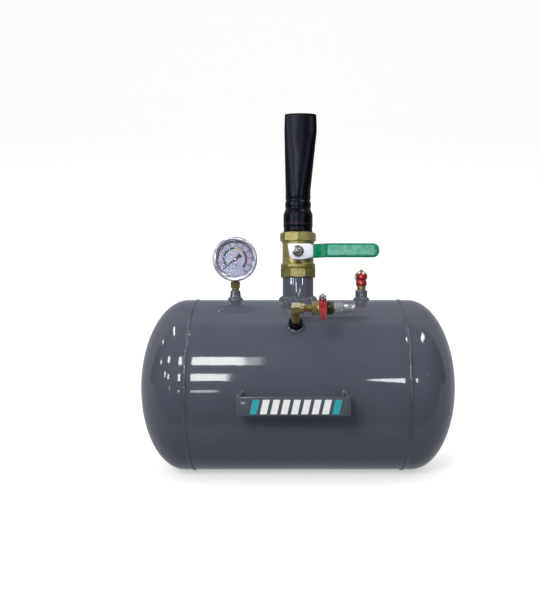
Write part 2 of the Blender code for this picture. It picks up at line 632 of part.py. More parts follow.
def inlet():
    foot = tank_frame(INLET_X, INLET_ANGLE)
    radius, bore, bend = 6.2 * MM, INLET_BORE, 7 * MM
    socket = 4.6 * MM

    def across(station):
        """A ring round the elbow's path, which goes up and turns to +x."""
        x, z, angle, reach = station
        rings = []
        for u, v in circle(reach, SMALL):
            rings.append((x + u * math.cos(angle), v, z - u * math.sin(angle)))
        return rings

    turns = [math.radians(a) for a in (0, 30, 60, 90)]
    corner = [(bend - bend * math.cos(a), ARM_HEIGHT - bend + bend * math.sin(a), a) for a in turns]
    end = 12 * MM
    right = math.pi / 2
    outer = [(0, 2 * MM, 0, 5.1 * MM), (0, 11.3 * MM, 0, 5.1 * MM), (0, 11.5 * MM, 0, radius)]
    outer += [(*spot, radius) for spot in corner] + [(end, ARM_HEIGHT, right, radius)]
    inner = [(0, 2 * MM, 0, bore), *[(*spot, bore) for spot in corner]]
    inner += [(7.5 * MM, ARM_HEIGHT, right, socket), (end, ARM_HEIGHT, right, socket)]
    hollow = {"sections": [across(s) for s in inner], "through": True}
    lofted("inlet_elbow", "brass", foot, [across(s) for s in outer], hollow)

    arm = INLET_ARM
    elbow_end = INLET_X + end - INLET_VALVE_X
    hex_start = -14.2 * MM
    collar = 5 * MM
    spigot = 4.3 * MM
    profile = [
        (2.8 * MM, elbow_end - 4 * MM),
        (spigot, elbow_end - 4 * MM),
        (spigot, elbow_end + GAP),
        (collar, elbow_end + GAP),
        (collar, hex_start - GAP),
        (spigot, hex_start - GAP),
        (spigot, hex_start + 4.6 * MM),
        (2.8 * MM, hex_start + 4.6 * MM),
    ]
    turned("inlet_nipple", "brass", arm, profile, SMALL)

    body = [
        (INLET_BORE, -9 * MM),
        (socket, -9 * MM),
        (socket, hex_start),
        (8.5 * MM, hex_start, 6),
        (8.5 * MM, -8.4 * MM, 6),
        (9.2 * MM, -7.8 * MM),
        (9.2 * MM, 6.5 * MM),
        (6.5 * MM, 6.5 * MM),
        (6.5 * MM, -6.8 * MM),
        (INLET_BORE, -6.8 * MM),
    ]
    made = turned("inlet_valve_body", "brass", arm, body, ROUND, 0, math.radians(30))
    boss = [(0, 8 * MM), (5 * MM, 8 * MM), (5 * MM, 16 * MM), (0, 16 * MM)]
    combine(made, "UNION", turned("boss", "brass", INLET_STEM, boss, SMALL))
    hole = [(0, 5), (2.3, 5), (2.3, 11), (3.5, 11), (3.5, 17), (0, 17)]
    profile = [(r * MM, z * MM) for r, z in hole]
    combine(made, "DIFFERENCE", turned("stem_hole", "brass", INLET_STEM, profile, SMALL))

    end_piece = [(3.2, 6.8), (9.2, 6.8), (9.2, 12.5), (8.4, 14.9), (4.9, 14.9), (4.9, 9.5), (3.2, 9.5)]
    profile = [(r * MM, z * MM) for r, z in end_piece]
    turned("inlet_valve_end", "dark_brass", arm, profile)
    for name, flip in (("inlet_seat_inner", True), ("inlet_seat_outer", False)):
        seat(name, arm, flip, INLET_BALL_RADIUS, 3.4 * MM, 5.2 * MM, 6.1 * MM, 6.5 * MM)
    closed = INLET_STEM @ Matrix.Rotation(math.pi / 2, 4, "Z")
    ball("inlet_ball", closed, INLET_BALL_RADIUS, 2.9 * MM, 1.2 * MM, 2.2 * MM, 4.4 * MM, 5)
    shaft = [(0, 6.2), (2, 6.2), (2, 16.8), (1.7, 16.8), (1.7, 25), (0, 25)]
    profile = [(r * MM, z * MM) for r, z in shaft]
    stem("inlet_stem", "brass", closed, profile, 0.9 * MM, 1.8 * MM, 4.7 * MM, 6.6 * MM)
    packing = [(2.3, 11.3), (3.2, 11.3), (3.2, 15.6), (2.3, 15.6)]
    profile = [(r * MM, z * MM) for r, z in packing]
    turned("inlet_packing", "ptfe", INLET_STEM, profile, SMALL)

    strap = [(-6, 3), (-4, 5), (24, 5), (30, 5), (39, 4.6), (41, 3)]
    rises = [0, 0, 0, 3, 3, 3]
    sections = []
    for (reach, half), rise in zip(strap, rises):
        low, high = (17.1 + rise) * MM, (18.8 + rise) * MM
        corners = [(-half, low), (half, low), (half, high), (-half, high)]
        sections.append([(x * MM if abs(x) > 1 else x, -reach * MM, z) for x, z in corners])
    plate = lofted("inlet_lever", "red_paint", INLET_STEM, sections)
    hole = [(0, 16 * MM), (2 * MM, 16 * MM), (2 * MM, 20 * MM), (0, 20 * MM)]
    combine(plate, "DIFFERENCE", turned("hole", "red_paint", INLET_STEM, hole, SMALL))
    nut("inlet_lever_nut", "brass", INLET_STEM, 4.6 * MM, 2 * MM, 19.1 * MM, 23.6 * MM)

    plug = [(4.6, 10), (4.6, 15.2), (5.6, 15.2), (5.6, 17), (8.1, 17), (8.1, 28), (6.8, 30)]
    plug += [(6.2, 36), (5.2, 37), (5.2, 40), (6.1, 41), (6.1, 44.4), (5.2, 45.4), (2.8, 45.4)]
    plug += [(2.8, 10)]
    turned("air_plug", "zinc", arm, [(r * MM, z * MM) for r, z in plug], SMALL)


# ---------------------------------------------------------------- safety valve


def safety_valve():
    up = tank_frame(RELIEF_X)
    body = [(2.2, 5), (4.7, 5), (4.7, 15.5), (6.8, 15.5), (6.8, 21.6), (5.9, 21.6), (5.9, 29)]
    body += [(4.9, 29), (4.9, 24), (2.2, 24)]
    turned("relief_body", "brass", up, [(r * MM, z * MM) for r, z in body], SMALL)
    cap = [(6.2, 21.9), (7.4, 21.9), (8.6, 23.6), (8.6, 30.4), (6.9, 31.4), (6.9, 39.6)]
    cap += [(5.2, 41.6), (2.7, 42.3), (2.7, 38.6), (4.9, 38.6), (4.9, 29.4), (6.2, 29.4)]
    turned("relief_cap", "red_paint", up, [(r * MM, z * MM) for r, z in cap], SMALL)
    disc = [(0, 24.3), (4.4, 24.3), (4.4, 26.8), (0, 26.8)]
    turned("relief_seal", "rubber", up, [(r * MM, z * MM) for r, z in disc], SMALL)
    shaft = [(0, 27.1), (4.2, 27.1), (4.2, 28.4), (2.2, 28.4), (2.2, 47.4), (0, 47.4)]
    pull = turned("relief_stem", "brass", up, [(r * MM, z * MM) for r, z in shaft], SMALL)
    eye = tank_frame(RELIEF_X, 0, EYE_HEIGHT)
    hole = [(0, -4 * MM), (1.25 * MM, -4 * MM), (1.25 * MM, 4 * MM), (0, 4 * MM)]
    combine(pull, "DIFFERENCE", turned("eye", "brass", eye @ ALONG_X, hole, 12))
    spring(up)

    bm = bmesh.new()
    rings = []
    around, sides = 20, 6
    for i in range(around):
        angle = 2 * math.pi * i / around
        out = Vector((math.sin(angle), 0, math.cos(angle)))
        ring = []
        for u, v in circle(RING_WIRE, sides):
            spot = out * (RING_RADIUS + u) + Vector((0, v, -RING_RADIUS))
            ring.append(bm.verts.new(spot))
        rings.append(ring)
    bridge(bm, rings, closed=True)
    hang = eye @ Matrix.Rotation(RING_TILT, 4, "X")
    finish("relief_ring", bm, "steel", hang)


def spring(up):
    """A wound wire, its ends cut flat."""
    turns, per_turn, wire = 4, 9, 0.45 * MM
    radius, low, high = 3.55 * MM, 29.3 * MM, 38.1 * MM
    rings = []
    for i in range(turns * per_turn + 1):
        angle = 2 * math.pi * i / per_turn
        out = Vector((math.cos(angle), math.sin(angle), 0))
        z = low + (high - low) * i / (turns * per_turn)
        ring = [out * (radius + u) + Vector((0, 0, z + v)) for u, v in circle(wire, 4)]
        rings.append([tuple(point) for point in ring])
    lofted("relief_spring", "steel", up, rings)


# ---------------------------------------------------------------- build


def main():
    for old in list(bpy.data.objects):
        bpy.data.objects.remove(old)
    tank()
    ports()
    handle()
    main_valve()
    lever()
    barrel()
    gauge()
    inlet()
    safety_valve()


main()
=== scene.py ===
"""Looks for the bead seater blaster tank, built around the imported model.

Metres, +Z up. +X runs along the tank and -Y is the handle's side. A Shape holds
millimetres in its own frame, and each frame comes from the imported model's boxes.
"""

import math

import bmesh
import bpy
from mathutils import Matrix, Vector, noise


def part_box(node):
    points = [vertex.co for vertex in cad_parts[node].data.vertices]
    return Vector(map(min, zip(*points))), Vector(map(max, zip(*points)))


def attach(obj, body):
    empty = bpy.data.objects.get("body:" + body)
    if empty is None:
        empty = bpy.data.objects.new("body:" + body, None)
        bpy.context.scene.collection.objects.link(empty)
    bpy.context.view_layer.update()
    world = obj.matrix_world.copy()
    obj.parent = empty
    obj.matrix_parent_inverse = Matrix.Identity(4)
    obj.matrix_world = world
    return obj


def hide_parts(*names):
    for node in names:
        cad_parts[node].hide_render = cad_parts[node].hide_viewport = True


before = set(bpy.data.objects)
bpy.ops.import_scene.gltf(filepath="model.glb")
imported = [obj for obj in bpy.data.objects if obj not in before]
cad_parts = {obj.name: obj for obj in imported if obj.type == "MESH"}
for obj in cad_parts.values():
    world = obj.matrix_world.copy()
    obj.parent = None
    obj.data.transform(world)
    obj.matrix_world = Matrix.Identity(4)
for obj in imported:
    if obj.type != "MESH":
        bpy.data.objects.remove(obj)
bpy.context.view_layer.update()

MM = 0.001
TURN = 2 * math.pi
FINE = 96  # sides of a turned piece: a multiple of 6 and of 8
SHELL = 130.0  # the tank's radius, in millimetres


# ---------------- places


def span(node, axis):
    low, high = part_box(node)
    return low[axis], high[axis]


def middle(node, axis):
    return sum(span(node, axis)) / 2


AXIS_Y = middle("tank_shell", 1)
AXIS_Z = middle("tank_shell", 2)
SHELL_TOP = AXIS_Z + SHELL * MM
SEAM = middle("seam_weld_right", 0) / MM


def tank_frame(x, angle=0.0, height=0.0):
    """On the shell: z points away from the tank's axis and x along it. At angle 0 it stands
    on top with y to the back, and a larger angle is further down the front."""
    spot = Matrix.Translation((x, AXIS_Y, AXIS_Z)) @ Matrix.Rotation(angle, 4, "X")
    return spot @ Matrix.Translation((0, 0, (SHELL + height) * MM))


def above_shell(z):
    """The millimetres from the top of the shell up to z."""
    return (z - SHELL_TOP) / MM


FACING_FRONT = Matrix.Rotation(math.pi / 2, 4, "X")  # local z to -Y, local y to +Z
ALONG_X = Matrix.Rotation(math.pi / 2, 4, "Y")  # local z to +X, local x to -Z

TANK_LINE = Matrix.Translation((0, AXIS_Y, AXIS_Z)) @ ALONG_X
RISER = tank_frame(0)
MAIN_VALVE = tank_frame(0, 0, above_shell(middle("lever_nut", 2))) @ FACING_FRONT
GAUGE = tank_frame(middle("gauge_bung", 0))
GAUGE_HEIGHT = above_shell(middle("gauge_bezel", 2))
GAUGE_FACE = tank_frame(middle("gauge_bung", 0), 0, GAUGE_HEIGHT) @ FACING_FRONT
RELIEF = tank_frame(middle("relief_bung", 0))
INLET_TILT = math.radians(45)
INLET_X = middle("inlet_bung", 0)
INLET = tank_frame(INLET_X, INLET_TILT)
ARM_HEIGHT = 38.0  # of the inlet valve's line, above the shell
STEM_X = middle("inlet_lever_nut", 0)
INLET_STEM = tank_frame(STEM_X, INLET_TILT, ARM_HEIGHT)
INLET_ARM = INLET_STEM @ ALONG_X
HANDLE = tank_frame(middle("carry_handle", 0), math.pi / 2)


def within(outer, inner):
    """The inner frame as the outer frame sees it, in millimetres."""
    seen = outer.inverted() @ inner
    seen.translation /= MM
    return seen


def shell_height(y):
    """Of the shell's surface at y in a tank frame; 0 where the frame stands."""
    return math.sqrt(SHELL**2 - y**2) - SHELL


# ---------------- materials


class Nodes:
    """Makes and joins the nodes of one tree. A node's inputs are given in order or by
    name, with _ for a space, as values or as other nodes' outputs."""

    def __init__(self, tree):
        self.tree = tree

    def put(self, value, target):
        if hasattr(value, "links"):
            self.tree.links.new(value, target)
        else:
            target.default_value = (*value, 1) if target.type == "RGBA" else value

    def new(self, kind, *ordered, **named):
        made = self.tree.nodes.new(kind)
        for value, target in zip(ordered, made.inputs):
            self.put(value, target)
        for name, value in named.items():
            self.put(value, made.inputs[name.replace("_", " ")])
        return made

    def remap(self, value, low, high, to_low, to_high):
        ends = {"From_Min": low, "From_Max": high, "To_Min": to_low, "To_Max": to_high}
        return self.new("ShaderNodeMapRange", Value=value, **ends).outputs[0]

    def math(self, operation, *values):
        made = self.new("ShaderNodeMath", *values)
        made.operation = operation
        return made.outputs[0]

    def blend(self, share, first, second):
        """Between two numbers."""
        made = self.new("ShaderNodeMix", share)
        self.put(first, made.inputs[2])
        self.put(second, made.inputs[3])
        return made.outputs[0]

    def mix(self, share, first, second):
        """Between two colours."""
        made = self.new("ShaderNodeMix", share)
        made.data_type = "RGBA"
        self.put(first, made.inputs[6])
        self.put(second, made.inputs[7])
        return made.outputs[2]


class Finish(Nodes):
    """A Principled material. Its patterns are in metres in the piece's own space."""

    def __init__(self, name, **sockets):
        self.material = bpy.data.materials.new(name)
        self.material.use_nodes = True
        super().__init__(self.material.node_tree)
        self.shader = self.tree.nodes["Principled BSDF"]
        for socket, value in sockets.items():
            self.put(value, self.shader.inputs[socket.replace("_", " ")])
        self.coords = self.new("ShaderNodeTexCoord").outputs["Object"]
        self.raised = None

    def cloud(self, scale, detail=3.0, stretch=(1, 1, 1)):
        """Noise with so many cells a metre, from 0 to 1."""
        spread = self.new("ShaderNodeMapping", Vector=self.coords, Scale=stretch).outputs[0]
        return self.new("ShaderNodeTexNoise", Vector=spread, Scale=scale, Detail=detail).outputs[0]

    def ramp(self, value, *stops):
        made = self.new("ShaderNodeValToRGB", value)
        elements = made.color_ramp.elements
        while len(elements) < len(stops):
            elements.new(0.5)
        for element, (place, colour) in zip(elements, stops):
            element.position = place
            element.color = (*colour, 1)
        return made.outputs["Color"]

    def colour(self, value):
        self.put(value, self.shader.inputs["Base Color"])

    def roughness(self, value, ends):
        """From one end to the other as the value goes from 0.3 to 0.7."""
        self.put(self.remap(value, 0.3, 0.7, *ends), self.shader.inputs["Roughness"])

    def bump(self, height, depth):
        """Raises the surface by height times depth, in metres."""
        made = self.new("ShaderNodeBump", Height=height, Distance=depth)
        if self.raised:
            self.put(self.raised, made.inputs["Normal"])
        self.raised = made.outputs[0]
        self.put(self.raised, self.shader.inputs["Normal"])


def gloss_paint(name, base, light, rough, peel, shine=0.5, tint=(1, 1, 1)):
    """Sprayed enamel: a little cloudiness, fine specks and orange peel."""
    made = Finish(name, IOR=1.5, Metallic=0.0, Specular_IOR_Level=shine, Specular_Tint=tint)
    tone = made.ramp(made.cloud(26, 4), (0.3, base), (0.7, light))
    dust = made.remap(made.cloud(2200, 2), 0.66, 0.8, 0, 0.22)
    made.colour(made.mix(dust, tone, tuple(1.8 * part for part in light)))
    made.roughness(made.cloud(60, 3), rough)
    made.bump(made.cloud(420, 2), peel)
    return made.material


def cast_metal(name, dark, base, light, rough, grain=0.00001, turned=0.00002):
    """Bare metal with tarnish in patches, a fine grain and, if turned, tool marks round z."""
    made = Finish(name, Metallic=0.62)
    made.colour(made.ramp(made.cloud(48, 4), (0.25, dark), (0.5, base), (0.75, light)))
    made.roughness(made.cloud(160, 4), rough)
    made.bump(made.cloud(700, 3), grain)
    if turned:
        made.bump(made.cloud(5, 2, (1, 1, 500)), turned)
    return made.material


def brushed_metal(name, base, light, rough, stretch=(1, 1, 30), metallic=1.0):
    """Plated metal with drawn lines along one axis."""
    made = Finish(name, Metallic=metallic)
    lines = made.cloud(40, 3, stretch)
    made.colour(made.ramp(lines, (0.3, base), (0.7, light)))
    made.roughness(made.cloud(90, 4), rough)
    made.bump(lines, 0.00001)
    return made.material


def vinyl(name, base, light, worn, rough):
    """Dipped plastic, rubbed pale in patches by a share of worn."""
    made = Finish(name, IOR=1.46)
    tone = made.ramp(made.cloud(150, 4), (0.35, base), (0.68, light))
    rubbed = made.remap(made.cloud(75, 5), 0.46, 0.7, 0, worn)
    made.colour(made.mix(rubbed, tone, (0.3, 0.44, 0.38)))
    made.roughness(made.cloud(420, 4), rough)
    made.bump(made.cloud(700, 3), 0.00006)
    return made.material


def plain(name, base, light, rough=(0.4, 0.5), **sockets):
    """A moulded or printed surface with a slight variation."""
    made = Finish(name, **sockets)
    made.colour(made.ramp(made.cloud(300, 4), (0.3, base), (0.7, light)))
    made.roughness(made.cloud(600, 3), rough)
    made.bump(made.cloud(1200, 2), 0.000008)
    return made.material


GREY, LIGHT_GREY = (0.078, 0.088, 0.114), (0.087, 0.098, 0.126)
PAINT = gloss_paint("tank_paint", GREY, LIGHT_GREY, (0.045, 0.075), 0.000012)
DULL_GREY, PALE_GREY = (0.06, 0.069, 0.09), (0.092, 0.103, 0.132)
WELD_PAINT = gloss_paint("weld_paint", DULL_GREY, PALE_GREY, (0.06, 0.12), 0.00005)
DEEP_BLACK, SOFT_BLACK, BLUE_SHEEN = (0.0008, 0.0008, 0.002), (0.0018, 0.0018, 0.0042), (0.72, 0.76, 1)
BLACK = gloss_paint("black_paint", DEEP_BLACK, SOFT_BLACK, (0.3, 0.36), 0.00001, 0.2, BLUE_SHEEN)

BRASS = cast_metal(
    "brass", (0.2, 0.165, 0.045), (0.3, 0.255, 0.08), (0.42, 0.37, 0.14), (0.26, 0.36), turned=0
)
TURNED_BRASS = cast_metal(
    "turned_brass", (0.22, 0.17, 0.055), (0.34, 0.28, 0.1), (0.5, 0.43, 0.2), (0.18, 0.28)
)
# A pale copy of the brass: a painted highlight for the elbow's top faces, standing in for light from
# overhead.
BRASS_PAINTED_HIGHLIGHT = cast_metal(
    "brass_painted_highlight", (0.5, 0.42, 0.24), (0.72, 0.64, 0.44), (0.84, 0.78, 0.6), (0.2, 0.3)
)
DARK_BRASS = cast_metal(
    "dark_brass", (0.03, 0.022, 0.008), (0.09, 0.065, 0.025), (0.16, 0.12, 0.05), (0.22, 0.36), 0.00002
)
CHROME = brushed_metal("chrome", (0.72, 0.73, 0.75), (0.82, 0.83, 0.85), (0.05, 0.12))
BEZEL = brushed_metal("bezel_steel", (0.56, 0.57, 0.66), (0.66, 0.67, 0.76), (0.14, 0.2), (1, 1, 12), 0.68)
# The lever plate: a pale colour with little metal in it, a painted reflection of bright surroundings in
# place of a real zinc mirror.
ZINC_PAINTED_SHEEN = brushed_metal("zinc", (0.72, 0.74, 0.82), (0.82, 0.84, 0.91), (0.3, 0.42), (2, 40, 2), 0.25)
PLUG = brushed_metal("plug_zinc", (0.36, 0.37, 0.4), (0.5, 0.51, 0.53), (0.24, 0.34), (1, 1, 16), 0.7)
STEEL = brushed_metal("steel", (0.24, 0.23, 0.22), (0.4, 0.39, 0.38), (0.28, 0.45))
NUT = brushed_metal("nut_steel", (0.2, 0.2, 0.2), (0.48, 0.47, 0.46), (0.18, 0.28), metallic=0.8)
GREEN = vinyl("green_vinyl", (0.0006, 0.17, 0.075), (0.002, 0.28, 0.135), 0.0, (0.16, 0.26))
# The pad's vinyl: its paler green is partly a painted reflection of bright surroundings, and its grey
# rubbed patches are wear.
GREEN_SHEEN_AND_WEAR = vinyl("green_vinyl_sheen_and_wear", (0.06, 0.36, 0.24), (0.14, 0.46, 0.34), 0.6, (0.3, 0.42))
ENAMEL = {"rough": (0.12, 0.24), "Metallic": 0.3, "Coat_Weight": 0.8}
RED = plain("red_paint", (0.3, 0.01, 0.012), (0.46, 0.018, 0.018), **ENAMEL)
DARK_RED = plain("dark_red", (0.05, 0.006, 0.006), (0.1, 0.01, 0.01), (0.3, 0.45))
RUBBER = plain("rubber", (0.02, 0.02, 0.02), (0.035, 0.035, 0.035), (0.6, 0.8))
PTFE = plain("ptfe", (0.78, 0.78, 0.75), (0.86, 0.86, 0.83))
DIAL = plain("dial_white", (0.4, 0.42, 0.58), (0.45, 0.47, 0.63), (0.35, 0.45))
# Dial ink; the same colour paints the bezel's shadow ring on the dial.
INK_AND_PAINTED_SHADOW = plain("dial_ink_and_painted_shadow", (0.012, 0.012, 0.02), (0.02, 0.02, 0.035))
GREEN_INK = plain("dial_green", (0.006, 0.07, 0.035), (0.01, 0.1, 0.05))
YELLOW_INK = plain("dial_yellow", (0.42, 0.34, 0.12), (0.5, 0.4, 0.16))
RED_INK = plain("dial_red", (0.1, 0.006, 0.012), (0.15, 0.01, 0.018))
POINTER = plain("pointer_black", (0.006, 0.006, 0.008), (0.012, 0.012, 0.015), (0.3, 0.45))
HUB = plain("pointer_hub", (0.7, 0.71, 0.72), (0.82, 0.83, 0.84), (0.25, 0.35))
TEAL_FILM = plain("teal_film", (0.02, 0.36, 0.4), (0.028, 0.42, 0.46), (0.25, 0.35))
WHITE_FILM = plain("white_film", (0.84, 0.85, 0.86), (0.92, 0.92, 0.92), (0.25, 0.35))
LENS = plain("lens", (0.1, 0.12, 0.16), (0.12, 0.14, 0.18), (0.02, 0.04), Alpha=0.04, IOR=1.45)

SEATS = ("seat_lower", "seat_upper", "inlet_seat_inner", "inlet_seat_outer")
KEPT_NODES = {
    PTFE: (*SEATS, "stem_packing", "inlet_packing"),
    CHROME: ("valve_ball", "inlet_ball"),
    TURNED_BRASS: ("inlet_stem", "bourdon_tube", "movement_plate", "sector_gear"),
    STEEL: ("barrel_nipple", "valve_stem"),
    RUBBER: ("relief_seal",),
    DIAL: ("gauge_dial",),
    LENS: ("gauge_lens",),
}
for finish, nodes in KEPT_NODES.items():
    for node in nodes:
        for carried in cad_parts[node].material_slots:
            carried.material = finish


# ---------------- making meshes


def rounded(profile, fillet, steps=3, closed=False):
    """A profile of (radius, z) points with its corners rounded."""
    points = [Vector(point) for point in profile]
    made = []
    for i, point in enumerate(points):
        if not closed and i in (0, len(points) - 1):
            made.append(tuple(point))
            continue
        back = points[i - 1] - point
        ahead = points[(i + 1) % len(points)] - point
        half = back.angle(ahead) / 2
        if half > math.radians(86):
            made.append(tuple(point))
            continue
        tangent = min(fillet / math.tan(half), 0.45 * back.length, 0.45 * ahead.length)
        way = (back.normalized() + ahead.normalized()).normalized()
        centre = point + way * (tangent / math.cos(half))
        start = point + back.normalized() * tangent - centre
        end = point + ahead.normalized() * tangent - centre
        for step in range(steps + 1):
            share = step / steps
            arm = start.lerp(end, share).normalized() * start.length
            made.append(tuple(centre + arm))
    return made


def prism(apothem, sides, corner, low, high, cut=0.965):
    """Rings of a nut: flats whose corners are cut by a cone at both ends."""
    face = apothem * cut
    step = TURN / sides
    slope = math.tan(math.radians(30))

    def flat(angle):
        off = (angle - corner) % step - step / 2
        return apothem / math.cos(off)

    def foot(angle):
        return flat(angle), low + (flat(angle) - face) * slope

    def head(angle):
        return flat(angle), high - (flat(angle) - face) * slope

    return [(face, low), foot, head, (face, high)]


def on_shell(radius, rise=0.0):
    """A ring at this radius in a tank frame that follows the shell."""

    def ring(angle):
        return radius, shell_height(radius * math.sin(angle)) + rise

    return ring


def placed(name, data):
    """A new object in the scene."""
    made = bpy.data.objects.new(name, data)
    bpy.context.collection.objects.link(made)
    return made


class Shape:
    """One piece's mesh, in millimetres, gathered from closed skins."""

    def __init__(self):
        self.points = []
        self.faces = []
        self.marks = []

    def skin(self, rings, closed=False, mark=0, place=None):
        """Faces between each ring of points and the next. Ends are capped, or closed on
        each other. A ring of one point is a pole."""
        starts = []
        for ring in rings:
            starts.append(len(self.points))
            self.points += [place @ Vector(p) if place else Vector(p) for p in ring]
        before = len(self.faces)
        pairs = [(k, k + 1) for k in range(len(rings) - 1)]
        if closed:
            pairs.append((len(rings) - 1, 0))
        for a, b in pairs:
            size_a, size_b = len(rings[a]), len(rings[b])
            for i in range(max(size_a, size_b)):
                corners = [starts[a] + i % size_a, starts[a] + (i + 1) % size_a]
                corners += [starts[b] + (i + 1) % size_b, starts[b] + i % size_b]
                corners = list(dict.fromkeys(corners))
                if len(corners) > 2:
                    self.faces.append(corners)
        if not closed:
            for k in (0, len(rings) - 1):
                if len(rings[k]) > 2:
                    self.faces.append([starts[k] + i for i in range(len(rings[k]))])
        self.marks += [mark] * (len(self.faces) - before)

    def turned(self, profile, count=FINE, mark=0, place=None, closed=None):
        """Turns a profile about z: points, or functions from an angle to a point."""
        rings = []
        for point in profile:
            if not callable(point) and point[0] == 0:
                rings.append([(0, 0, point[1])])
                continue
            ring = []
            for i in range(count):
                angle = TURN * i / count
                radius, z = point(angle) if callable(point) else point
                ring.append((radius * math.cos(angle), radius * math.sin(angle), z))
            rings.append(ring)
        if closed is None:
            closed = callable(profile[0]) or profile[0][0] > 0
        self.skin(rings, closed, mark, place)

    def slab(self, outline, low, high, edge=0.0, mark=0, place=None):
        """An outline of (x, y) points between two heights, with its edges cut."""
        if not edge:
            self.skin([[(x, y, z) for x, y in outline] for z in (low, high)], mark=mark, place=place)
            return
        inner = shrunk(outline, edge)
        levels = [(inner, low), (outline, low + edge), (outline, high - edge), (inner, high)]
        self.skin([[(x, y, z) for x, y in loop] for loop, z in levels], mark=mark, place=place)

    def move(self, change):
        self.points = [point + change(point) for point in self.points]

    def done(self, name, place, body, slot, *materials, replaces=None, sharp=35):
        mesh = bpy.data.meshes.new(name)
        mesh.from_pydata([tuple(point * MM) for point in self.points], [], self.faces)
        for material in materials:
            mesh.materials.append(material)
        mesh.polygons.foreach_set("material_index", self.marks)
        bm = bmesh.new()
        bm.from_mesh(mesh)
        bmesh.ops.recalc_face_normals(bm, faces=bm.faces)
        bm.to_mesh(mesh)
        bm.free()
        mesh.shade_smooth()
        mesh.set_sharp_from_angle(angle=math.radians(sharp))
        piece = placed(name, mesh)
        piece.matrix_world = place
        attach(piece, body)
        if replaces:
            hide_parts(replaces)


def shrunk(outline, edge):
    """A convex-ish outline drawn in by edge along its corners' bisectors."""
    made = []
    for i, point in enumerate(outline):
        here = Vector(point)
        back = (here - Vector(outline[i - 1])).normalized()
        ahead = (Vector(outline[(i + 1) % len(outline)]) - here).normalized()
        side = Vector((-(back + ahead).y, (back + ahead).x)).normalized()
        made.append(tuple(here + side * edge))
    return made


def bar_section(half_x, half_y, corner, steps=3):
    """A rounded rectangle's outline, anticlockwise."""
    made = []
    for turn, (sx, sy) in enumerate(((1, 1), (-1, 1), (-1, -1), (1, -1))):
        for step in range(steps + 1):
            angle = math.pi / 2 * (turn + step / steps)
            x = sx * (half_x - corner) + corner * math.cos(angle)
            y = sy * (half_y - corner) + corner * math.sin(angle)
            made.append((x, y))
    return made


def superellipse(half_u, half_v, power, count=48):
    """An oval's outline: 2 is an ellipse, and more is squarer."""
    made = []
    for i in range(count):
        angle = TURN * i / count
        c, s = math.cos(angle), math.sin(angle)
        u = half_u * math.copysign(abs(c) ** (2 / power), c)
        v = half_v * math.copysign(abs(s) ** (2 / power), s)
        made.append((u, v))
    return made


def wander(point, size, seed=0.0):
    """Smooth noise from -1 to 1, the same on each run."""
    return noise.noise(Vector(point) / size + Vector((seed, seed * 1.7, -seed)))


def turned_piece(name, place, slot, material, node, profile, count=FINE, closed=None):
    """A piece on the tank, turned from one profile, that takes one node's place."""
    shape = Shape()
    shape.turned(profile, count, closed=closed)
    shape.done(name, place, "tank", slot, material, replaces=node)


# ---------------- welds


def round_path(radius, step=0.55):
    count = max(48, int(TURN * radius / step))
    made = []
    for i in range(count):
        angle = TURN * i / count
        out = Vector((math.cos(angle), math.sin(angle)))
        made.append((out * radius, out))
    return made


def box_path(centre_x, centre_y, half_x, half_y, step=0.6):
    """Round a flat bar's foot, with outward directions that turn at the corners."""
    loop = bar_section(half_x, half_y, 1.2, 4)
    made = []
    for i, start in enumerate(loop):
        a, b = Vector(start), Vector(loop[(i + 1) % len(loop)])
        pieces = max(1, int((b - a).length / step))
        for k in range(pieces):
            spot = a.lerp(b, k / pieces)
            inner_x = max(-half_x + 1.2, min(half_x - 1.2, spot.x))
            inner_y = max(-half_y + 1.2, min(half_y - 1.2, spot.y))
            out = (spot - Vector((inner_x, inner_y))).normalized()
            made.append((spot + Vector((centre_x, centre_y)), out))
    return made


def fillet_weld(name, place, path, reach, tall, replaced, seed, pitch=3.0):
    """A rippled bead in the corner between an upright piece and the shell."""
    shape = Shape()
    rings = []
    run = 0.0
    last = path[0][0]
    for spot, out in path:
        run += (spot - last).length
        last = spot
        size = 1 + 0.24 * wander((spot.x, spot.y, 0), 6, seed)
        size += 0.1 * wander((spot.x, spot.y, 3), 2.2, seed)
        ring = []
        for step in range(8):
            share = step / 7
            swell = math.sin(math.pi * share)
            wave = 0.2 * math.sin(TURN * run / pitch - 1.9 * swell) * swell
            away = reach * (1 - share) * size + (0.14 * reach + wave) * swell
            rise = tall * share * size + (0.14 * tall + wave) * swell
            x, y = spot + out * away
            ring.append((x, y, shell_height(y) + rise))
        under = spot - out * 0.3
        ring.append((under.x, under.y, shell_height(under.y) - 0.9))
        rings.append(ring)
    shape.skin(rings, closed=True)
    shape.done(name, place, "tank", "tank_paint", WELD_PAINT, replaces=replaced, sharp=60)


def girth_weld(name, x, replaced, seed):
    """The bead round the tank where a head meets the shell."""
    shape = Shape()
    count, ripples = 1440, 204
    start, overlap = 262, 1.6  # where the bead ends on its own beginning, in degrees
    rings = []
    for i in range(count):
        angle = TURN * i / count
        out = Vector((math.cos(angle), math.sin(angle)))
        width = 2.7 + 0.35 * wander((out.x * SHELL, out.y * SHELL, 0), 9, seed)
        drift = 0.45 * wander((out.x * SHELL, out.y * SHELL, 5), 30, seed)
        crown = 1.15 + 0.3 * wander((out.x * SHELL, out.y * SHELL, 9), 12, seed)
        if abs(math.degrees(angle) - start) < overlap:
            crown += 0.5
        ring = []
        for share in (-1, -0.72, -0.4, 0, 0.4, 0.72, 1):
            dome = 1 - share * share
            wave = 0.14 * dome * math.sin(ripples * angle - 2.4 * dome)
            radius = SHELL + crown * dome + wave - 0.04
            ring.append((radius * out.x, radius * out.y, x + drift + width * share))
        below = SHELL - 1
        ring.append((below * out.x, below * out.y, x + drift))
        rings.append(ring)
    shape.skin(rings, closed=True)
    shape.done(name, TANK_LINE, "tank", "tank_paint", WELD_PAINT, replaces=replaced, sharp=60)


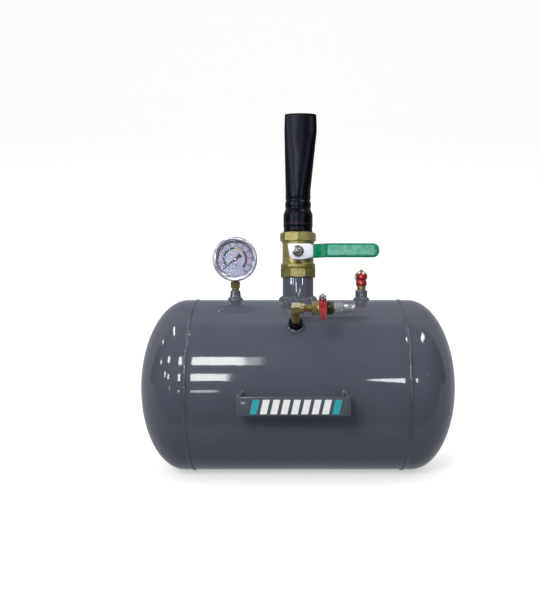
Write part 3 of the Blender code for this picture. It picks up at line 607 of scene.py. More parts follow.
# ---------------- tank


def dent(point):
    """Rolling and pressing leave the plate uneven, and it draws in beside the seams."""
    out = Vector((point.x, point.y, 0))
    if out.length < 1:
        return Vector((0, 0, 0))
    draw_width, draw_depth = 4.2, 0.55
    off = (abs(point.z) - SEAM) / draw_width
    drawn = draw_depth * math.exp(-off * off)
    return out.normalized() * (0.14 * wander(point, 62, 3) + 0.04 * wander(point, 24, 8) - drawn)


def tank():
    seam = max(abs(edge) for edge in span("tank_shell", 0)) / MM
    wall = 2.5
    shape = Shape()
    near = 14  # beside the seams the rings are a millimetre apart
    edge = [seam - k for k in range(near)]
    main = [seam - near - 2 * (seam - near) * i / 50 for i in range(51)]
    levels = [-z for z in edge] + main[::-1] + edge[::-1]
    outside = [(SHELL, z) for z in levels]
    inside = [(SHELL - wall, z) for z in (seam, -seam)]
    shape.turned(outside + inside, 240)
    shape.move(dent)
    shape.done("shell_skin", TANK_LINE, "tank", "tank_paint", PAINT, replaces="tank_shell")

    straight, depth = 170.0, 68.0
    for side, sign in (("left", -1), ("right", 1)):
        shape = Shape()
        arc = [math.radians(90 * i / 40) for i in range(41)]
        dome = [(SHELL * math.cos(a), straight + depth * math.sin(a)) for a in arc[:-1]]
        inner, inner_depth = SHELL - wall, depth - wall
        back = [(inner * math.cos(a), straight + inner_depth * math.sin(a)) for a in arc[:-1:4]]
        rim = seam + 0.3
        profile = [(0, straight + depth), *dome[::-1]]
        profile += [(SHELL, rim + (straight - rim) * k / 12) for k in range(11, -1, -1)]
        profile += [(inner, rim), *back, (0, straight + inner_depth)]
        profile = [(radius, sign * z) for radius, z in profile]
        shape.turned(profile, 240, closed=False)
        shape.move(dent)
        name = f"head_{side}"
        shape.done(f"{name}_skin", TANK_LINE, "tank", "tank_paint", PAINT, replaces=name)
        x = middle(f"seam_weld_{side}", 0) / MM
        girth_weld(f"girth_bead_{side}", x, f"seam_weld_{side}", 11 + sign)


SUNK = 1.2  # how far an upright piece goes into the shell


def bung(name, place, foot, head, bore, top, seed, threads=False):
    """A threaded boss, its foot spread into its weld."""
    shape = Shape()
    crest = [(foot, 2.0), (foot - 0.2, 5.0)]
    edge = rounded([crest[-1], (head, top - 3.2), (head, top), (bore, top), (bore, top - 4)], 0.8)
    shape.turned([on_shell(foot, -SUNK), *crest, *edge[1:], on_shell(bore, -SUNK)])
    shape.move(lambda p: Vector((p.x, p.y, 0)).normalized() * 0.28 * wander(p, 4, seed))
    if threads:
        rings = [(head + 0.5 * (k % 2), 4.2 + 0.85 * k) for k in range(8)]
        shape.turned([(head - 1, 4.0), *rings, (head - 1, top - 0.3)])
    paint = BLACK if threads else PAINT
    shape.done(f"{name}_ring", place, "tank", "tank_paint", paint, replaces=name)
    path = round_path(foot)
    fillet_weld(f"{name}_bead", place, path, 3.6, 4.4, f"{name}_weld", seed)


def ports():
    bung("gauge_bung", GAUGE, 8.8, 7.6, 4.9, 14.7, 21)
    bung("relief_bung", RELIEF, 9.5, 9.3, 4.9, 15.2, 22)
    bung("inlet_bung", INLET, 9.8, 9.8, 5.4, 11.0, 23, threads=True)
    outer, bore = 24, 21.4
    top = rounded([(outer, 8), (outer, 35), (bore, 35), (bore, 8)], 0.9)
    profile = [on_shell(outer, -SUNK), *top, on_shell(bore, -SUNK)]
    turned_piece("riser_tube", RISER, "tank_paint", PAINT, "riser_coupling", profile)
    fillet_weld("riser_bead", RISER, round_path(outer), 6.0, 6.4, "riser_weld", 24, 4.0)


def handle():
    """A flat bar bent to a U, with a film of generic bars on its front."""
    low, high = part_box("carry_handle")
    half = (high[0] - low[0]) / 2 / MM
    tall = (high[2] - low[2]) / MM
    drop = (middle("carry_handle", 2) - AXIS_Z) / MM
    front = (AXIS_Y - low[1]) / MM - SHELL
    thick, bend = 4.5, 8.0
    lean = 3.0
    centre_radius = bend - thick / 2
    right = [(half - lean - thick / 2, -3.0, 0.0), (half - thick / 2, front - bend, 0.0)]
    for step in range(1, 9):
        angle = math.pi / 2 * step / 8
        x = half - bend + centre_radius * math.cos(angle)
        z = front - bend + centre_radius * math.sin(angle)
        right.append((x, z, angle))
    path = [*right, *[(-x, z, math.pi - angle) for x, z, angle in right[::-1]]]
    shape = Shape()
    rings = []
    for x, z, angle in path:
        ring = []
        for across, along in bar_section(thick / 2, tall / 2, 1.1):
            ring.append((x + across * math.cos(angle), along + drop, z + across * math.sin(angle)))
        rings.append(ring)
    shape.skin(rings)
    shape.done("handle_bar", HANDLE, "tank", "tank_paint", PAINT, replaces="carry_handle")

    film = Shape()
    under, over, slant = 2.4, 3.6, 4.2  # the bars' margins on the handle, and their lean
    foot, head = drop - tall / 2 + under, drop + tall / 2 - over
    first, pitch, width, count = -57.0, 13.4, 8.8, 9
    for i in range(count):
        x = first + pitch * i
        outline = [(x, foot), (x + width, foot), (x + width + slant, head), (x + slant, head)]
        film.slab(outline, front - 0.05, front + 0.09, mark=0 if i in (0, count - 1) else 1)
    film.done("handle_film", HANDLE, "tank", "handle_paint", TEAL_FILM, WHITE_FILM)

    toe = half - lean - thick / 2
    for name, sign, seed in (("left", -1, 31), ("right", 1, 32)):
        path = box_path(sign * toe, drop, thick / 2, tall / 2)
        fillet_weld(f"handle_bead_{name}", HANDLE, path, 3.4, 3.2, f"handle_weld_{name}", seed, 3.2)


# ---------------- main valve


def main_valve():
    octagon, port = 25.75, 13.5
    corner = math.radians(-90 + 22.5)
    body = Shape()
    neck = [(26.4, 49.4), (26.9, 50.2), (26.9, 55.0), (26.0, 56.2)]
    neck = rounded([*neck, (24.2, 57.6), (24.2, 89.6), (21.6, 89.6)], 0.7)
    bore = [(21.6, 83), (20.6, 83), (20.6, 58.9), (port, 58.9)]
    foot = [(port, 17), (21, 17), (21, 34.6)]
    body.turned([*foot, *prism(octagon + 0.9, 8, corner, 34.6, 49.4), *neck, *bore])
    front = within(RISER, MAIN_VALVE)
    boss = [(6.2, 14), (12.4, 14), (12.0, 22.6), (10.5, 25.2), (10.5, 33), (6.2, 33)]
    body.turned(rounded(boss, 0.9, closed=True), place=front)
    arrow = [(-2.2, -14.9), (2.2, -14.9), (0, -18.4)]
    body.slab(arrow, 24.2, 25.5, mark=1, place=front)
    body.done("valve_casting", RISER, "tank", "brass", BRASS, DARK_BRASS, replaces="valve_body")

    cap = Shape()
    low, high = 90.4, 104.6
    flats = prism(octagon, 8, math.radians(-90), low, high)
    top = rounded([(24.4, high), (22.6, high), (21.4, high - 1.4), (21.4, 94.5), (port, 94.5)], 0.4)
    cap.turned([(port, 88.5), (18.9, 88.5), (18.9, 83.4), (21.2, 83.4), (21.2, low), *flats, *top[1:]])
    collar = [(21.3, 88.2), (24.9, 88.2), (24.9, 90.2), (21.3, 90.2)]
    cap.turned(rounded(collar, 0.3, closed=True))
    cap.done("valve_cap", RISER, "tank", "brass", BRASS, replaces="valve_end_cap")

    flats = prism(9.5, 6, math.radians(30), 33.3, 36.8)
    profile = [(5.4, 30.3), (7.6, 30.3), (7.6, 33.3), *flats, (5.4, 36.8)]
    turned_piece("gland_hexagon", MAIN_VALVE, "brass", TURNED_BRASS, "gland_nut", profile)


STRAP_BACK = 37.3  # of the strap round the stem, ahead of the valve's axis
STRAP_THICK = 2.5
STRAP_STEP = 12  # how far its outer end stands further forward
STEP_FROM, STEP_TO = 27, 42  # its two bends, along the lever


def strap_middle(x):
    """How far forward the middle of the strap's thickness is at x."""
    share = max(0.0, min(1.0, (x - STEP_FROM) / (STEP_TO - STEP_FROM)))
    return STRAP_BACK + STRAP_STEP * share + STRAP_THICK / 2


def lever():
    plate = Shape()
    stop_tab = [(-15.6, 10.9, 9.6), (-15.1, 10.9, 6.4), (-12.9, 10.9, -5.5)]
    lobe = [(-12.2, -7.9), (-10.9, -9.8), (-9.1, -11.2), (-6.5, -12.2), (-4, -12.6), (0.4, -12.8)]
    lobe += [(7.6, -12.8), (9.6, -12.0), (18, -10.6)]
    arm = [(x, 8.4, -8.4) for x in (21.8, STEP_FROM, STEP_TO, 117.5)]
    rings = []
    for x, top, foot in (*stop_tab, *[(x, 10.9, foot) for x, foot in lobe], *arm):
        outline = bar_section((top - foot) / 2, STRAP_THICK / 2, 0.55)
        centre, z = (top + foot) / 2, strap_middle(x)
        rings.append([(x, across + centre, along + z) for across, along in outline])
    plate.skin(rings)
    # The strap's pale colour is a painted reflection.
    plate.done("lever_strap", MAIN_VALVE, "main_lever", "zinc", ZINC_PAINTED_SHEEN, replaces="lever_plate")

    nut = Shape()
    flats = prism(7.5, 6, math.radians(18), 40.1, 45.0, 0.93)
    washer = [(8.6, 39.9), (8.6, 40.5), (7.6, 41.0)]
    nut.turned([(4.4, 39.9), *washer, *flats[1:], (5.6, 45.6), (4.4, 45.2)])
    end = rounded([(0, 48.0), (2.6, 47.9), (4.4, 46.9), (4.6, 44.6), (4.6, 40.2), (0, 40.2)], 0.9)
    nut.turned(end)
    nut.done("lever_hexagon", MAIN_VALVE, "main_lever", "zinc", NUT, replaces="lever_nut")

    grip()


def grip():
    """A dipped handle over the strap, with a raised pad whose paler green is partly wear and partly a
    painted reflection.
    """
    skin, mouth, straight, tip, half = 1.8, 22.6, 111.0, 120.4, 10.5
    stations = [(mouth, 0.86), (mouth + 0.7, 0.97), (mouth + 2, 1)]
    stations += [(x, 1) for x in (27, 29, 33, 37, 40, 42, 44, 50, 60, 70, 80, 90, 100, straight)]
    for step in range(1, 9):
        angle = math.pi / 2 * step / 8
        share = max(0.25, math.cos(angle) ** 0.8)
        stations.append((straight + (tip - straight) * math.sin(angle), share))
    shape = Shape()
    rings = []
    for x, share in stations:
        deep = (STRAP_THICK / 2 + skin) * (0.55 + 0.45 * min(1, share * 1.6))
        corner = min(2.4, deep * 0.86, half * share * 0.6)
        z = strap_middle(x)
        outline = bar_section(half * share, deep, corner, 5)
        rings.append([(x, across, along + z) for across, along in outline])
    shape.skin(rings)
    face = STRAP_BACK + STRAP_STEP + STRAP_THICK + skin
    pad = [(x + 78.2, y) for x, y in bar_section(34.2, 7.6, 2.6, 5)]
    crown, heart = shrunk(pad, 1.1), shrunk(pad, 2.6)
    levels = [(pad, face - 0.5), (pad, face + 0.15), (crown, face + 0.75), (heart, face + 0.6)]
    shape.skin([[(x, y, z) for x, y in loop] for loop, z in levels], mark=1)
    for x in (35.5, 38.6):
        z = strap_middle(x) + STRAP_THICK / 2 + skin
        fold = [(x - 0.9, z - 0.9), (x + 0.9, z - 0.4), (x + 0.5, z + 0.75), (x - 0.3, z + 0.6)]
        shape.skin([[(a, y, b) for a, b in fold] for y in (-9.3, -3, 3, 9.3)])
    body, slot = "main_lever", "green_vinyl"
    shape.done("grip_sleeve", MAIN_VALVE, body, slot, GREEN, GREEN_SHEEN_AND_WEAR, replaces="lever_grip")


# ---------------- barrel


def barrel():
    """A round tube pressed flat towards its mouth, its girth kept, and the sleeve on it."""
    outside = [(21.4, 104.9), (22.6, 104.9), (22.9, 106.2), (22.2, 107.6), (22.2, 112.6)]
    outside += [(22.8, 114.4), (22.8, 132.4), (22.0, 135.2), (20.4, 138.6), (19.5, 141.2)]
    outside += [(19.4, 143.0), (20.0, 144.2), (20.2, 147.6), (20.2, 151.0), (19.4, 152.4)]
    outside += [(18.9, 153.6), (18.9, 156.2), (19.7, 157.6), (19.7, 159.2)]
    inside = [(18.6, 159.2), (18.6, 131.4), (21.4, 131.4)]
    profile = rounded(outside + inside, 0.7, closed=True)
    turned_piece("barrel_collar", RISER, "black_paint", BLACK, "barrel_sleeve", profile)
    band = Shape()
    edge = [(22.5, 117.2), (22.95, 117.2), (22.95, 117.9), (22.5, 117.9)]
    band.turned(rounded(edge, 0.1, closed=True))
    band.done("barrel_band", RISER, "tank", "black_paint", DARK_RED)

    tube = Shape()
    radius, wall, top = 19.5, 2.2, span("barrel_tube", 2)[1] / MM - SHELL_TOP / MM
    flat_from, flat_to, thin, shift, flare = 170.0, 264.0, 9.2, 4.0, 0.045
    sleeve_top, tucked, edge_cut = 159, 1.1, 0.5
    levels = [133, 158.4, 159.4, 161, 165]
    levels += [flat_from + (flat_to - flat_from) * i / 26 for i in range(27)]
    levels += [268, 273, 278, 283, top - 0.8, top]

    def section(z, inset):
        share = max(0.0, min(1.0, (z - flat_from) / (flat_to - flat_from)))
        round_half = radius - (tucked if z < sleeve_top else 0)
        deep = round_half + (thin - round_half) * share + flare * max(0.0, z - flat_to)
        straight = math.pi / 2 * (round_half - deep)
        curl = deep - inset - (edge_cut if z > top - 0.1 and not inset else 0)
        oval = superellipse(straight + curl, curl, 2 + 0.5 * share, FINE)
        return [(x + shift * share, y, z) for x, y in oval]

    outer = [section(z, 0) for z in levels]
    inner = [section(z, wall) for z in levels[::-1]]
    tube.skin(outer + inner, closed=True)
    tube.move(lambda p: Vector((0, 0.35 * wander(p, 17, 5) if p.z > 175 else 0, 0)))
    tube.done("barrel_nozzle", RISER, "tank", "black_paint", BLACK, replaces="barrel_tube", sharp=50)


# ---------------- gauge


def arc_band(shape, inner, outer, start, end, z, mark):
    """A thin printed arc, its angles in degrees."""
    steps = max(2, int(abs(end - start) / 3))
    rings = []
    for i in range(steps + 1):
        angle = math.radians(start + (end - start) * i / steps)
        way = Vector((math.cos(angle), math.sin(angle)))
        low, high = way * inner, way * outer
        rings.append([(*low, z), (*high, z), (*high, z + 0.06), (*low, z + 0.06)])
    shape.skin(rings, mark=mark)


def digits(shape, text, x, y, size, z, mark):
    """A number as a thin solid."""
    curve = bpy.data.curves.new("digits", "FONT")
    curve.body = text
    curve.size = size
    curve.align_x = "CENTER"
    curve.align_y = "CENTER"
    curve.resolution_u = 3
    curve.extrude = 0.03
    curve.offset = 0.08
    holder = placed("digits", curve)
    bpy.context.view_layer.update()
    solid = holder.evaluated_get(bpy.context.evaluated_depsgraph_get())
    mesh = bpy.data.meshes.new_from_object(solid)
    start = len(shape.points)
    shape.points += [vertex.co + Vector((x, y, z + 0.03)) for vertex in mesh.vertices]
    shape.faces += [[start + i for i in polygon.vertices] for polygon in mesh.polygons]
    shape.marks += [mark] * len(mesh.polygons)
    bpy.data.objects.remove(holder)
    bpy.data.curves.remove(curve)
    bpy.data.meshes.remove(mesh)


def gauge():
    neck = [(0, 44), (5, 44), (5, 28.8)]
    flats = prism(7, 6, math.radians(30), 18.7, 28.8)[::-1]
    threads = [(5.6, 18.7), (5.6, 16.6), (5.2, 16.2), (5.6, 15.8), (5.2, 15.4), (5.6, 15)]
    profile = [*neck, *flats, *threads, (4.7, 15), (4.7, 5), (1.6, 5), (1.6, 40), (0, 40)]
    turned_piece("gauge_stem", GAUGE, "brass", TURNED_BRASS, "gauge_socket", profile)

    outside = [(0, -12), (27.5, -12), (29.5, -11.2), (33, -9), (33, 8)]
    profile = rounded([*outside, (32.2, 8), (32.2, -8.4), (28, -11), (0, -11)], 1.2)
    turned_piece("gauge_drum", GAUGE_FACE, "chrome", CHROME, "gauge_case", profile, closed=False)

    rim = [(33.3, 4.6), (34.1, 4.6), (34.4, 5.6), (34.4, 11.4), (33.9, 13.6), (32.4, 15)]
    rim += [(29.6, 14.4), (28.2, 13.5), (27.9, 12.8), (33.3, 12.8)]
    profile = rounded(rim, 0.8, 4, closed=True)
    turned_piece("gauge_rim", GAUGE_FACE, "chrome", BEZEL, "gauge_bezel", profile, 144)
    dial_print()
    pointer()


ZERO, SWEEP = 220.0, 270.0  # degrees: where the scale starts, and how far it goes clockwise


def dial_print():
    """Zones, ticks, numbers, a few blank marks and a ring of painted bezel shadow."""
    dial = Shape()
    thick, scale, steps = 0.06, 18.9, 50
    face = (AXIS_Y - span("gauge_dial", 1)[0]) / MM + 0.02
    for start, end, mark in ((214, 92, 1), (91, 46, 2), (45, -46, 3)):
        arc_band(dial, 15.6, 18.3, start, end, face, mark)
    arc_band(dial, 18.7, 19.0, ZERO, ZERO - SWEEP, face, 0)
    # The wider ring, 26.9 to 27.9, is a painted shadow of the bezel on the dial; the shift makes it show
    # thicker at the top left and go under the rim at the bottom right.
    bezel_shadow_shift = Matrix.Translation((0.3, -0.35, 0))
    for near, far in ((25.9, 26.2), (26.9, 27.9)):
        edge = [(near, face), (far, face), (far, face + thick), (near, face + thick)]
        dial.turned(edge, place=bezel_shadow_shift)
    for i in range(steps + 1):
        angle = math.radians(ZERO - SWEEP * i / steps)
        numbered = i % 5 == 0
        reach, half = (22.0, 0.42) if numbered else (20.6, 0.22)
        way = Vector((math.cos(angle), math.sin(angle)))
        side = Vector((-way.y, way.x)) * half
        corners = ((scale, -1), (reach, -1), (reach, 1), (scale, 1))
        dial.slab([tuple(way * out + side * turn) for out, turn in corners], face, face + thick)
        if numbered:
            spot = way * 24.2
            digits(dial, str(4 * i), spot.x, spot.y, 3.4, face, 0)
    for x in (-4, 4.7):
        dot = [(x + u, v - 16) for u, v in superellipse(0.75, 0.75, 2, 16)]
        dial.slab(dot, face, face + thick)
    for y, half in ((-8.2, 4.6), (-10.4, 6.2), (-12.4, 3.8)):
        low, high = y - 0.22, y + 0.22
        line = [(-half, low), (half, low), (half, high), (-half, high)]
        dial.slab(line, face, face + thick)
    dial.done("dial_print", GAUGE_FACE, "tank", "dial_white", INK_AND_PAINTED_SHADOW, GREEN_INK, YELLOW_INK, RED_INK)


def pointer():
    place = GAUGE_FACE @ Matrix.Rotation(math.radians(ZERO), 4, "Z")
    needle = Shape()
    upper = [(23, 0.3), (-2, 1.1), (-4.2, 1.2), (-10.4, 4.0), (-11.2, 2.0)]
    needle.slab([*upper, *[(x, -y) for x, y in upper[::-1]]], 8.1, 8.7)
    shaft = [(0, -8.4), (0.8, -8.4), (0.8, -5), (1.3, -5), (1.3, -3), (0.8, -3), (0.8, 7.4)]
    needle.turned([*shaft, (2.9, 7.4), (2.9, 8.9), (2.6, 9.3), (0, 9.3)], 48)
    cap = rounded([(0, 9.2), (1.9, 9.2), (1.9, 9.7), (1.5, 10.0), (0, 10.05)], 0.2)
    needle.turned(cap, 48, mark=1)
    body, slot = "gauge_pointer", "pointer_black"
    needle.done("gauge_needle", place, body, slot, POINTER, HUB, replaces="gauge_pointer")


# ---------------- inlet


def inlet():
    elbow = Shape()
    bend = 6.6
    centre = ARM_HEIGHT - bend

    def ring(x, z, angle, size, power):
        across, down = math.cos(angle), math.sin(angle)
        return [(x + u * across, v, z - u * down) for u, v in superellipse(size, size, power)]

    rings = [ring(0, 2, 0, 5.1, 2), ring(0, 11.2, 0, 5.1, 2), ring(0, 11.3, 0, 5.6, 2)]
    rings += [ring(0, 12.2, 0, 6.2, 2.2), ring(0, 20, 0, 6.2, 2.4)]
    for step in range(0, 7):
        angle = math.pi / 2 * step / 6
        x = bend - bend * math.cos(angle)
        z = centre + bend * math.sin(angle)
        rings.append(ring(x, z, angle, 6.2 + 0.2 * math.sin(2 * angle), 3.0))
    right = math.pi / 2
    rings += [ring(10.9, ARM_HEIGHT, right, 6.3, 2.8), ring(12, ARM_HEIGHT, right, 5.7, 2.2)]
    elbow.skin(rings)
    shoulder = bar_section(6.3, 5.6, 1.2, 4)
    block = [[(x + 0.2, y, z) for x, y in shoulder] for z in (centre - 2, ARM_HEIGHT + 5.2)]
    tip = [(x * 0.88 + 0.2, y * 0.88, ARM_HEIGHT + 6.2) for x, y in shoulder]
    elbow.skin([*block, tip])
    # The faces marked 1, the block's top and the strip along it, take the pale brass: a painted highlight
    # of the overhead light.
    face = bar_section(5.4, 4.6, 1.1, 4)
    levels = [(1, ARM_HEIGHT + 6.0), (1, ARM_HEIGHT + 6.3), (0.9, ARM_HEIGHT + 6.5)]
    elbow.skin([[(x * size + 0.2, y * size, z) for x, y in face] for size, z in levels], mark=1)
    run = bar_section(3.6, 2.6, 0.8, 3)
    elbow.skin([[(x + 8.6, y, z) for x, y in run] for z in (ARM_HEIGHT + 5.4, ARM_HEIGHT + 6.5)], mark=1)
    finishes = TURNED_BRASS, BRASS_PAINTED_HIGHLIGHT
    elbow.done("elbow_forging", INLET, "tank", "brass", *finishes, replaces="inlet_elbow")

    arm_start = (INLET_X - STEM_X) / MM + 12
    hexagon, pitch = -14.2, 0.9
    outline = [(2.8, arm_start - 4), (4.3, arm_start - 4), (4.3, arm_start)]
    z = arm_start + 0.2
    while z < hexagon - 0.4:
        outline += [(5.2, z), (4.75, z + pitch / 2)]
        z += pitch
    outline += [(4.3, hexagon), (4.3, hexagon + 4.6), (2.8, hexagon + 4.6)]
    turned_piece("nipple_thread", INLET_ARM, "brass", TURNED_BRASS, "inlet_nipple", outline, 64)

    body = Shape()
    flats = prism(8.5, 6, math.radians(30), hexagon, -8.6)
    waist = [(8.2, -8.6), (7.4, -8.2), (7.4, -7.4), (9.2, -6.4), (9.2, 6.5), (6.5, 6.5)]
    waist = rounded(waist, 0.6)[1:]
    body.turned([(3.2, -9), (4.6, -9), (4.6, hexagon), *flats, *waist, (6.5, -6.8), (3.2, -6.8)])
    boss = [(3.5, 4), (6.4, 4), (6.2, 9.4), (5.0, 10.8), (5.0, 16), (3.5, 16)]
    body.turned(rounded(boss, 0.6, closed=True), place=within(INLET_ARM, INLET_STEM))
    body.done("inlet_casting", INLET_ARM, "tank", "brass", TURNED_BRASS, replaces="inlet_valve_body")

    outline = [(3.2, 6.8), (9.2, 6.8), (9.2, 12.2), (8.2, 14.9), (4.9, 14.9), (4.9, 9.5), (3.2, 9.5)]
    profile = rounded(outline, 0.6, closed=True)
    turned_piece("inlet_end_ring", INLET_ARM, "dark_brass", DARK_BRASS, "inlet_valve_end", profile)
    inlet_lever()
    air_plug()


def inlet_lever():
    strap = Shape()
    stations = [(-6.2, 2.2, 0), (-5.7, 3.8, 0), (-4.4, 4.9, 0), (-3, 5.3, 0), (18, 5.3, 0)]
    stations += [(22, 4.9, 0), (24.5, 4.7, 0.4), (27, 4.4, 1.5), (29.5, 4.2, 2.6), (32, 4, 3)]
    stations += [(38, 3.7, 3), (39.6, 3.4, 3), (40.6, 2.7, 3), (41, 1.6, 3)]
    middle_height = 17.95
    rings = []
    for reach, half, rise in stations:
        height = middle_height + rise
        outline = bar_section(half, 0.85, 0.5)
        rings.append([(across, -reach, along + height) for across, along in outline])
    strap.skin(rings)
    for x in (-1.7, 1.7):
        rib = bar_section(0.6, 5.4, 0.5)
        strap.slab([(u + x, v - 33.2) for u, v in rib], 21.3, 22.3, 0.25)
    strap.done("inlet_handle", INLET_STEM, "inlet_lever", "red_paint", RED, replaces="inlet_lever")
    nut = Shape()
    flats = prism(4.6, 6, math.radians(30), 19.1, 22.6, 0.94)
    dome = [(4.0, 22.6), (3.9, 23.4), (3.2, 24.6), (1.8, 25.4), (0, 25.6)]
    nut.turned([(2, 19.1), *flats, *dome, (0, 19.1)], closed=False)
    nut.done("inlet_acorn_nut", INLET_STEM, "inlet_lever", "brass", NUT, replaces="inlet_lever_nut")


def air_plug():
    def ribbed(radius, z):
        return lambda angle: (radius + 0.22 * math.cos(34 * angle), z)

    body = [(2.8, 10), (4.6, 10), (4.6, 15.2), (5.6, 15.2), (5.6, 16.6), (7.4, 16.6), (8.0, 17.4)]
    body += [ribbed(7.9, 18), ribbed(7.9, 22.2), (7.3, 22.5), (7.3, 22.9)]
    body += [ribbed(7.9, 23.2), ribbed(7.9, 27), (7.8, 27.8), (6.9, 29.4), (6.5, 30.4)]
    body += [(6.2, 35.8), (5.7, 36.6), (5.2, 37.2), (5.2, 39.8), (5.7, 40.3), (6.1, 41.1)]
    body += [(6.1, 44.2), (5.7, 45.1), (5.2, 45.4), (3.2, 45.4), (2.8, 45)]
    turned_piece("plug_nose", INLET_ARM, "zinc", PLUG, "air_plug", body, 272)


# ---------------- safety valve


def safety_valve():
    outline = [(2.2, 5), (4.7, 5), (4.7, 15.5), (6.4, 15.5), (6.8, 16), (6.8, 17.6), (6.3, 18)]
    outline += [(6.3, 18.4), (6.8, 18.8), (6.8, 21.2), (6.4, 21.6), (5.9, 21.6), (5.9, 29)]
    outline += [(4.9, 29), (4.9, 24), (2.2, 24)]
    turned_piece("relief_base", RELIEF, "brass", TURNED_BRASS, "relief_body", outline)

    outline = [(6.2, 21.9), (7.8, 21.9), (8.4, 23.0), (8.4, 29.4), (7.4, 30.2), (7.4, 31.4)]
    outline += [(8.5, 32.4), (8.5, 39.0), (7.6, 40.6), (5.6, 41.4), (2.7, 41.6), (2.7, 38.6)]
    outline += [(4.9, 38.6), (4.9, 29.4), (6.2, 29.4)]
    profile = rounded(outline, 0.6, closed=True)
    turned_piece("relief_hood", RELIEF, "red_paint", RED, "relief_cap", profile)
    relief_coil()

    stem = Shape()
    outline = [(0, 27.1), (4.2, 27.1), (4.2, 28.4), (2.2, 28.4), (2.2, 42.6), (1.7, 42.9)]
    outline += [(1.7, 43.3), (2.2, 43.6), (2.2, 46.8), (1.6, 47.4), (0, 47.5)]
    stem.turned(outline, 48)
    stem.done("relief_pull", RELIEF, "relief_plunger", "brass", TURNED_BRASS, replaces="relief_stem")

    ring = Shape()
    radius, wire, tilt = 9.5, 0.65, math.radians(31)
    eye = 44.7  # the ring hangs from here on the stem, above the shell
    rings = []
    for i in range(72):
        angle = TURN * i / 72
        out = Vector((math.sin(angle), 0, math.cos(angle)))
        section = superellipse(wire, wire, 2, 12)
        rings.append([out * (radius + u) + Vector((0, v, -radius)) for u, v in section])
    ring.skin(rings, closed=True)
    place = tank_frame(middle("relief_bung", 0), 0, eye) @ Matrix.Rotation(tilt, 4, "X")
    ring.done("pull_ring", place, "relief_ring", "steel", STEEL, replaces="relief_ring")


def relief_coil():
    """The spring, stiff here: it starts above the stem's flange, which lifts into the gap."""
    wire, turns, per_turn, gap = 0.45, 4, 24, 3.4
    low, high = (above_shell(edge) for edge in span("relief_spring", 2))
    left, right = span("relief_spring", 0)
    half = (right - left) / 2 / MM
    coil = Shape()
    rings = []
    for i in range(turns * per_turn + 1):
        angle = TURN * i / per_turn
        out = Vector((math.cos(angle), math.sin(angle), 0))
        z = low + gap + wire + (high - low - gap - 2 * wire) * i / (turns * per_turn)
        section = superellipse(wire, wire, 2, 10)
        rings.append([out * (half - wire + u) + Vector((0, 0, z + v)) for u, v in section])
    coil.skin(rings)
    coil.done("relief_coil", RELIEF, "tank", "steel", STEEL, replaces="relief_spring")


tank()
ports()
handle()
main_valve()
lever()
barrel()
gauge()
inlet()
safety_valve()


# ---------------- stage


FRONT_GLOW, SIDE_GLOW, BACK_GLOW = 0.09, 0.01, 0.44  # of the surroundings, in reflections
SOFT_LIGHT = (0.3, 1.1)  # from the horizon and from above
PANEL_Y = -1.1  # the upright panels stand this far in front
PANE_DISTANCE = 4.0
SPOT_DISTANCE = 1.6
FLOOR_SIDE, FLOOR_FRONT, FLOOR_BACK = 5.0, -3.0, 1.6
SWEEP_RADIUS, SWEEP_TOP = 1.2, 4.0


def cleared(holder):
    """The nodes of a material or of the world, all gone."""
    holder.use_nodes = True
    holder.node_tree.nodes.clear()
    return Nodes(holder.node_tree)


def panel(name, corners, strength):
    """A lamp's face that only reflections see."""
    material = bpy.data.materials.new(name)
    nodes = cleared(material)
    glow = nodes.new("ShaderNodeEmission", Strength=strength)
    nodes.new("ShaderNodeOutputMaterial", glow.outputs[0])
    mesh = bpy.data.meshes.new(name)
    mesh.from_pydata(corners, [], [(0, 1, 2, 3)])
    mesh.materials.append(material)
    made = placed(name, mesh)
    made.visible_camera = False
    made.visible_diffuse = False
    made.visible_shadow = False


def upright(name, x0, x1, z0, z1, strength, lean=0.0):
    outline = ((x0, z0), (x1, z0), (x1 + lean, z1), (x0 + lean, z1))
    panel(name, [(x, PANEL_Y, z) for x, z in outline], strength)


def bearing(azimuth, elevation):
    """A direction from angles in degrees: 0 is to the front and 90 to the right."""
    a, e = math.radians(azimuth), math.radians(elevation)
    return Vector((math.sin(a) * math.cos(e), -math.cos(a) * math.cos(e), math.sin(e)))


def pane(name, azimuth, elevation, wide, tall, strength):
    """A bright pane far off, its place and size in degrees seen from the tank's middle."""
    way, side = bearing(azimuth, elevation), bearing(azimuth + 90, 0)
    up = side.cross(way)
    if up.z < 0:
        up.negate()
    centre = Vector((0, AXIS_Y, AXIS_Z)) + way * PANE_DISTANCE
    half_x = side * PANE_DISTANCE * math.radians(wide) / 2
    half_z = up * PANE_DISTANCE * math.radians(tall) / 2
    turns = ((-1, -1), (1, -1), (1, 1), (-1, 1))
    panel(name, [centre + half_x * sx + half_z * sz for sx, sz in turns], strength)


def area_lamp(name, location, way, energy, size):
    data = bpy.data.lights.new(name, "AREA")
    data.energy = energy
    data.size = size
    held = placed(name, data)
    held.location = location
    held.rotation_euler = way.to_track_quat("-Z", "Y").to_euler()
    return held


def spot(name, azimuth, elevation, aim_height, wide, tall, spread, energy):
    """A narrow soft lamp for the glints on an upright piece at the tank's middle."""
    way = bearing(azimuth, elevation)
    location = Vector((0, AXIS_Y, aim_height)) + way * SPOT_DISTANCE
    lamp = area_lamp(name, location, -way, energy, wide).data
    lamp.shape = "RECTANGLE"
    lamp.size_y = tall
    lamp.spread = math.radians(spread)
    lamp.color = (0.74, 0.8, 1.0)


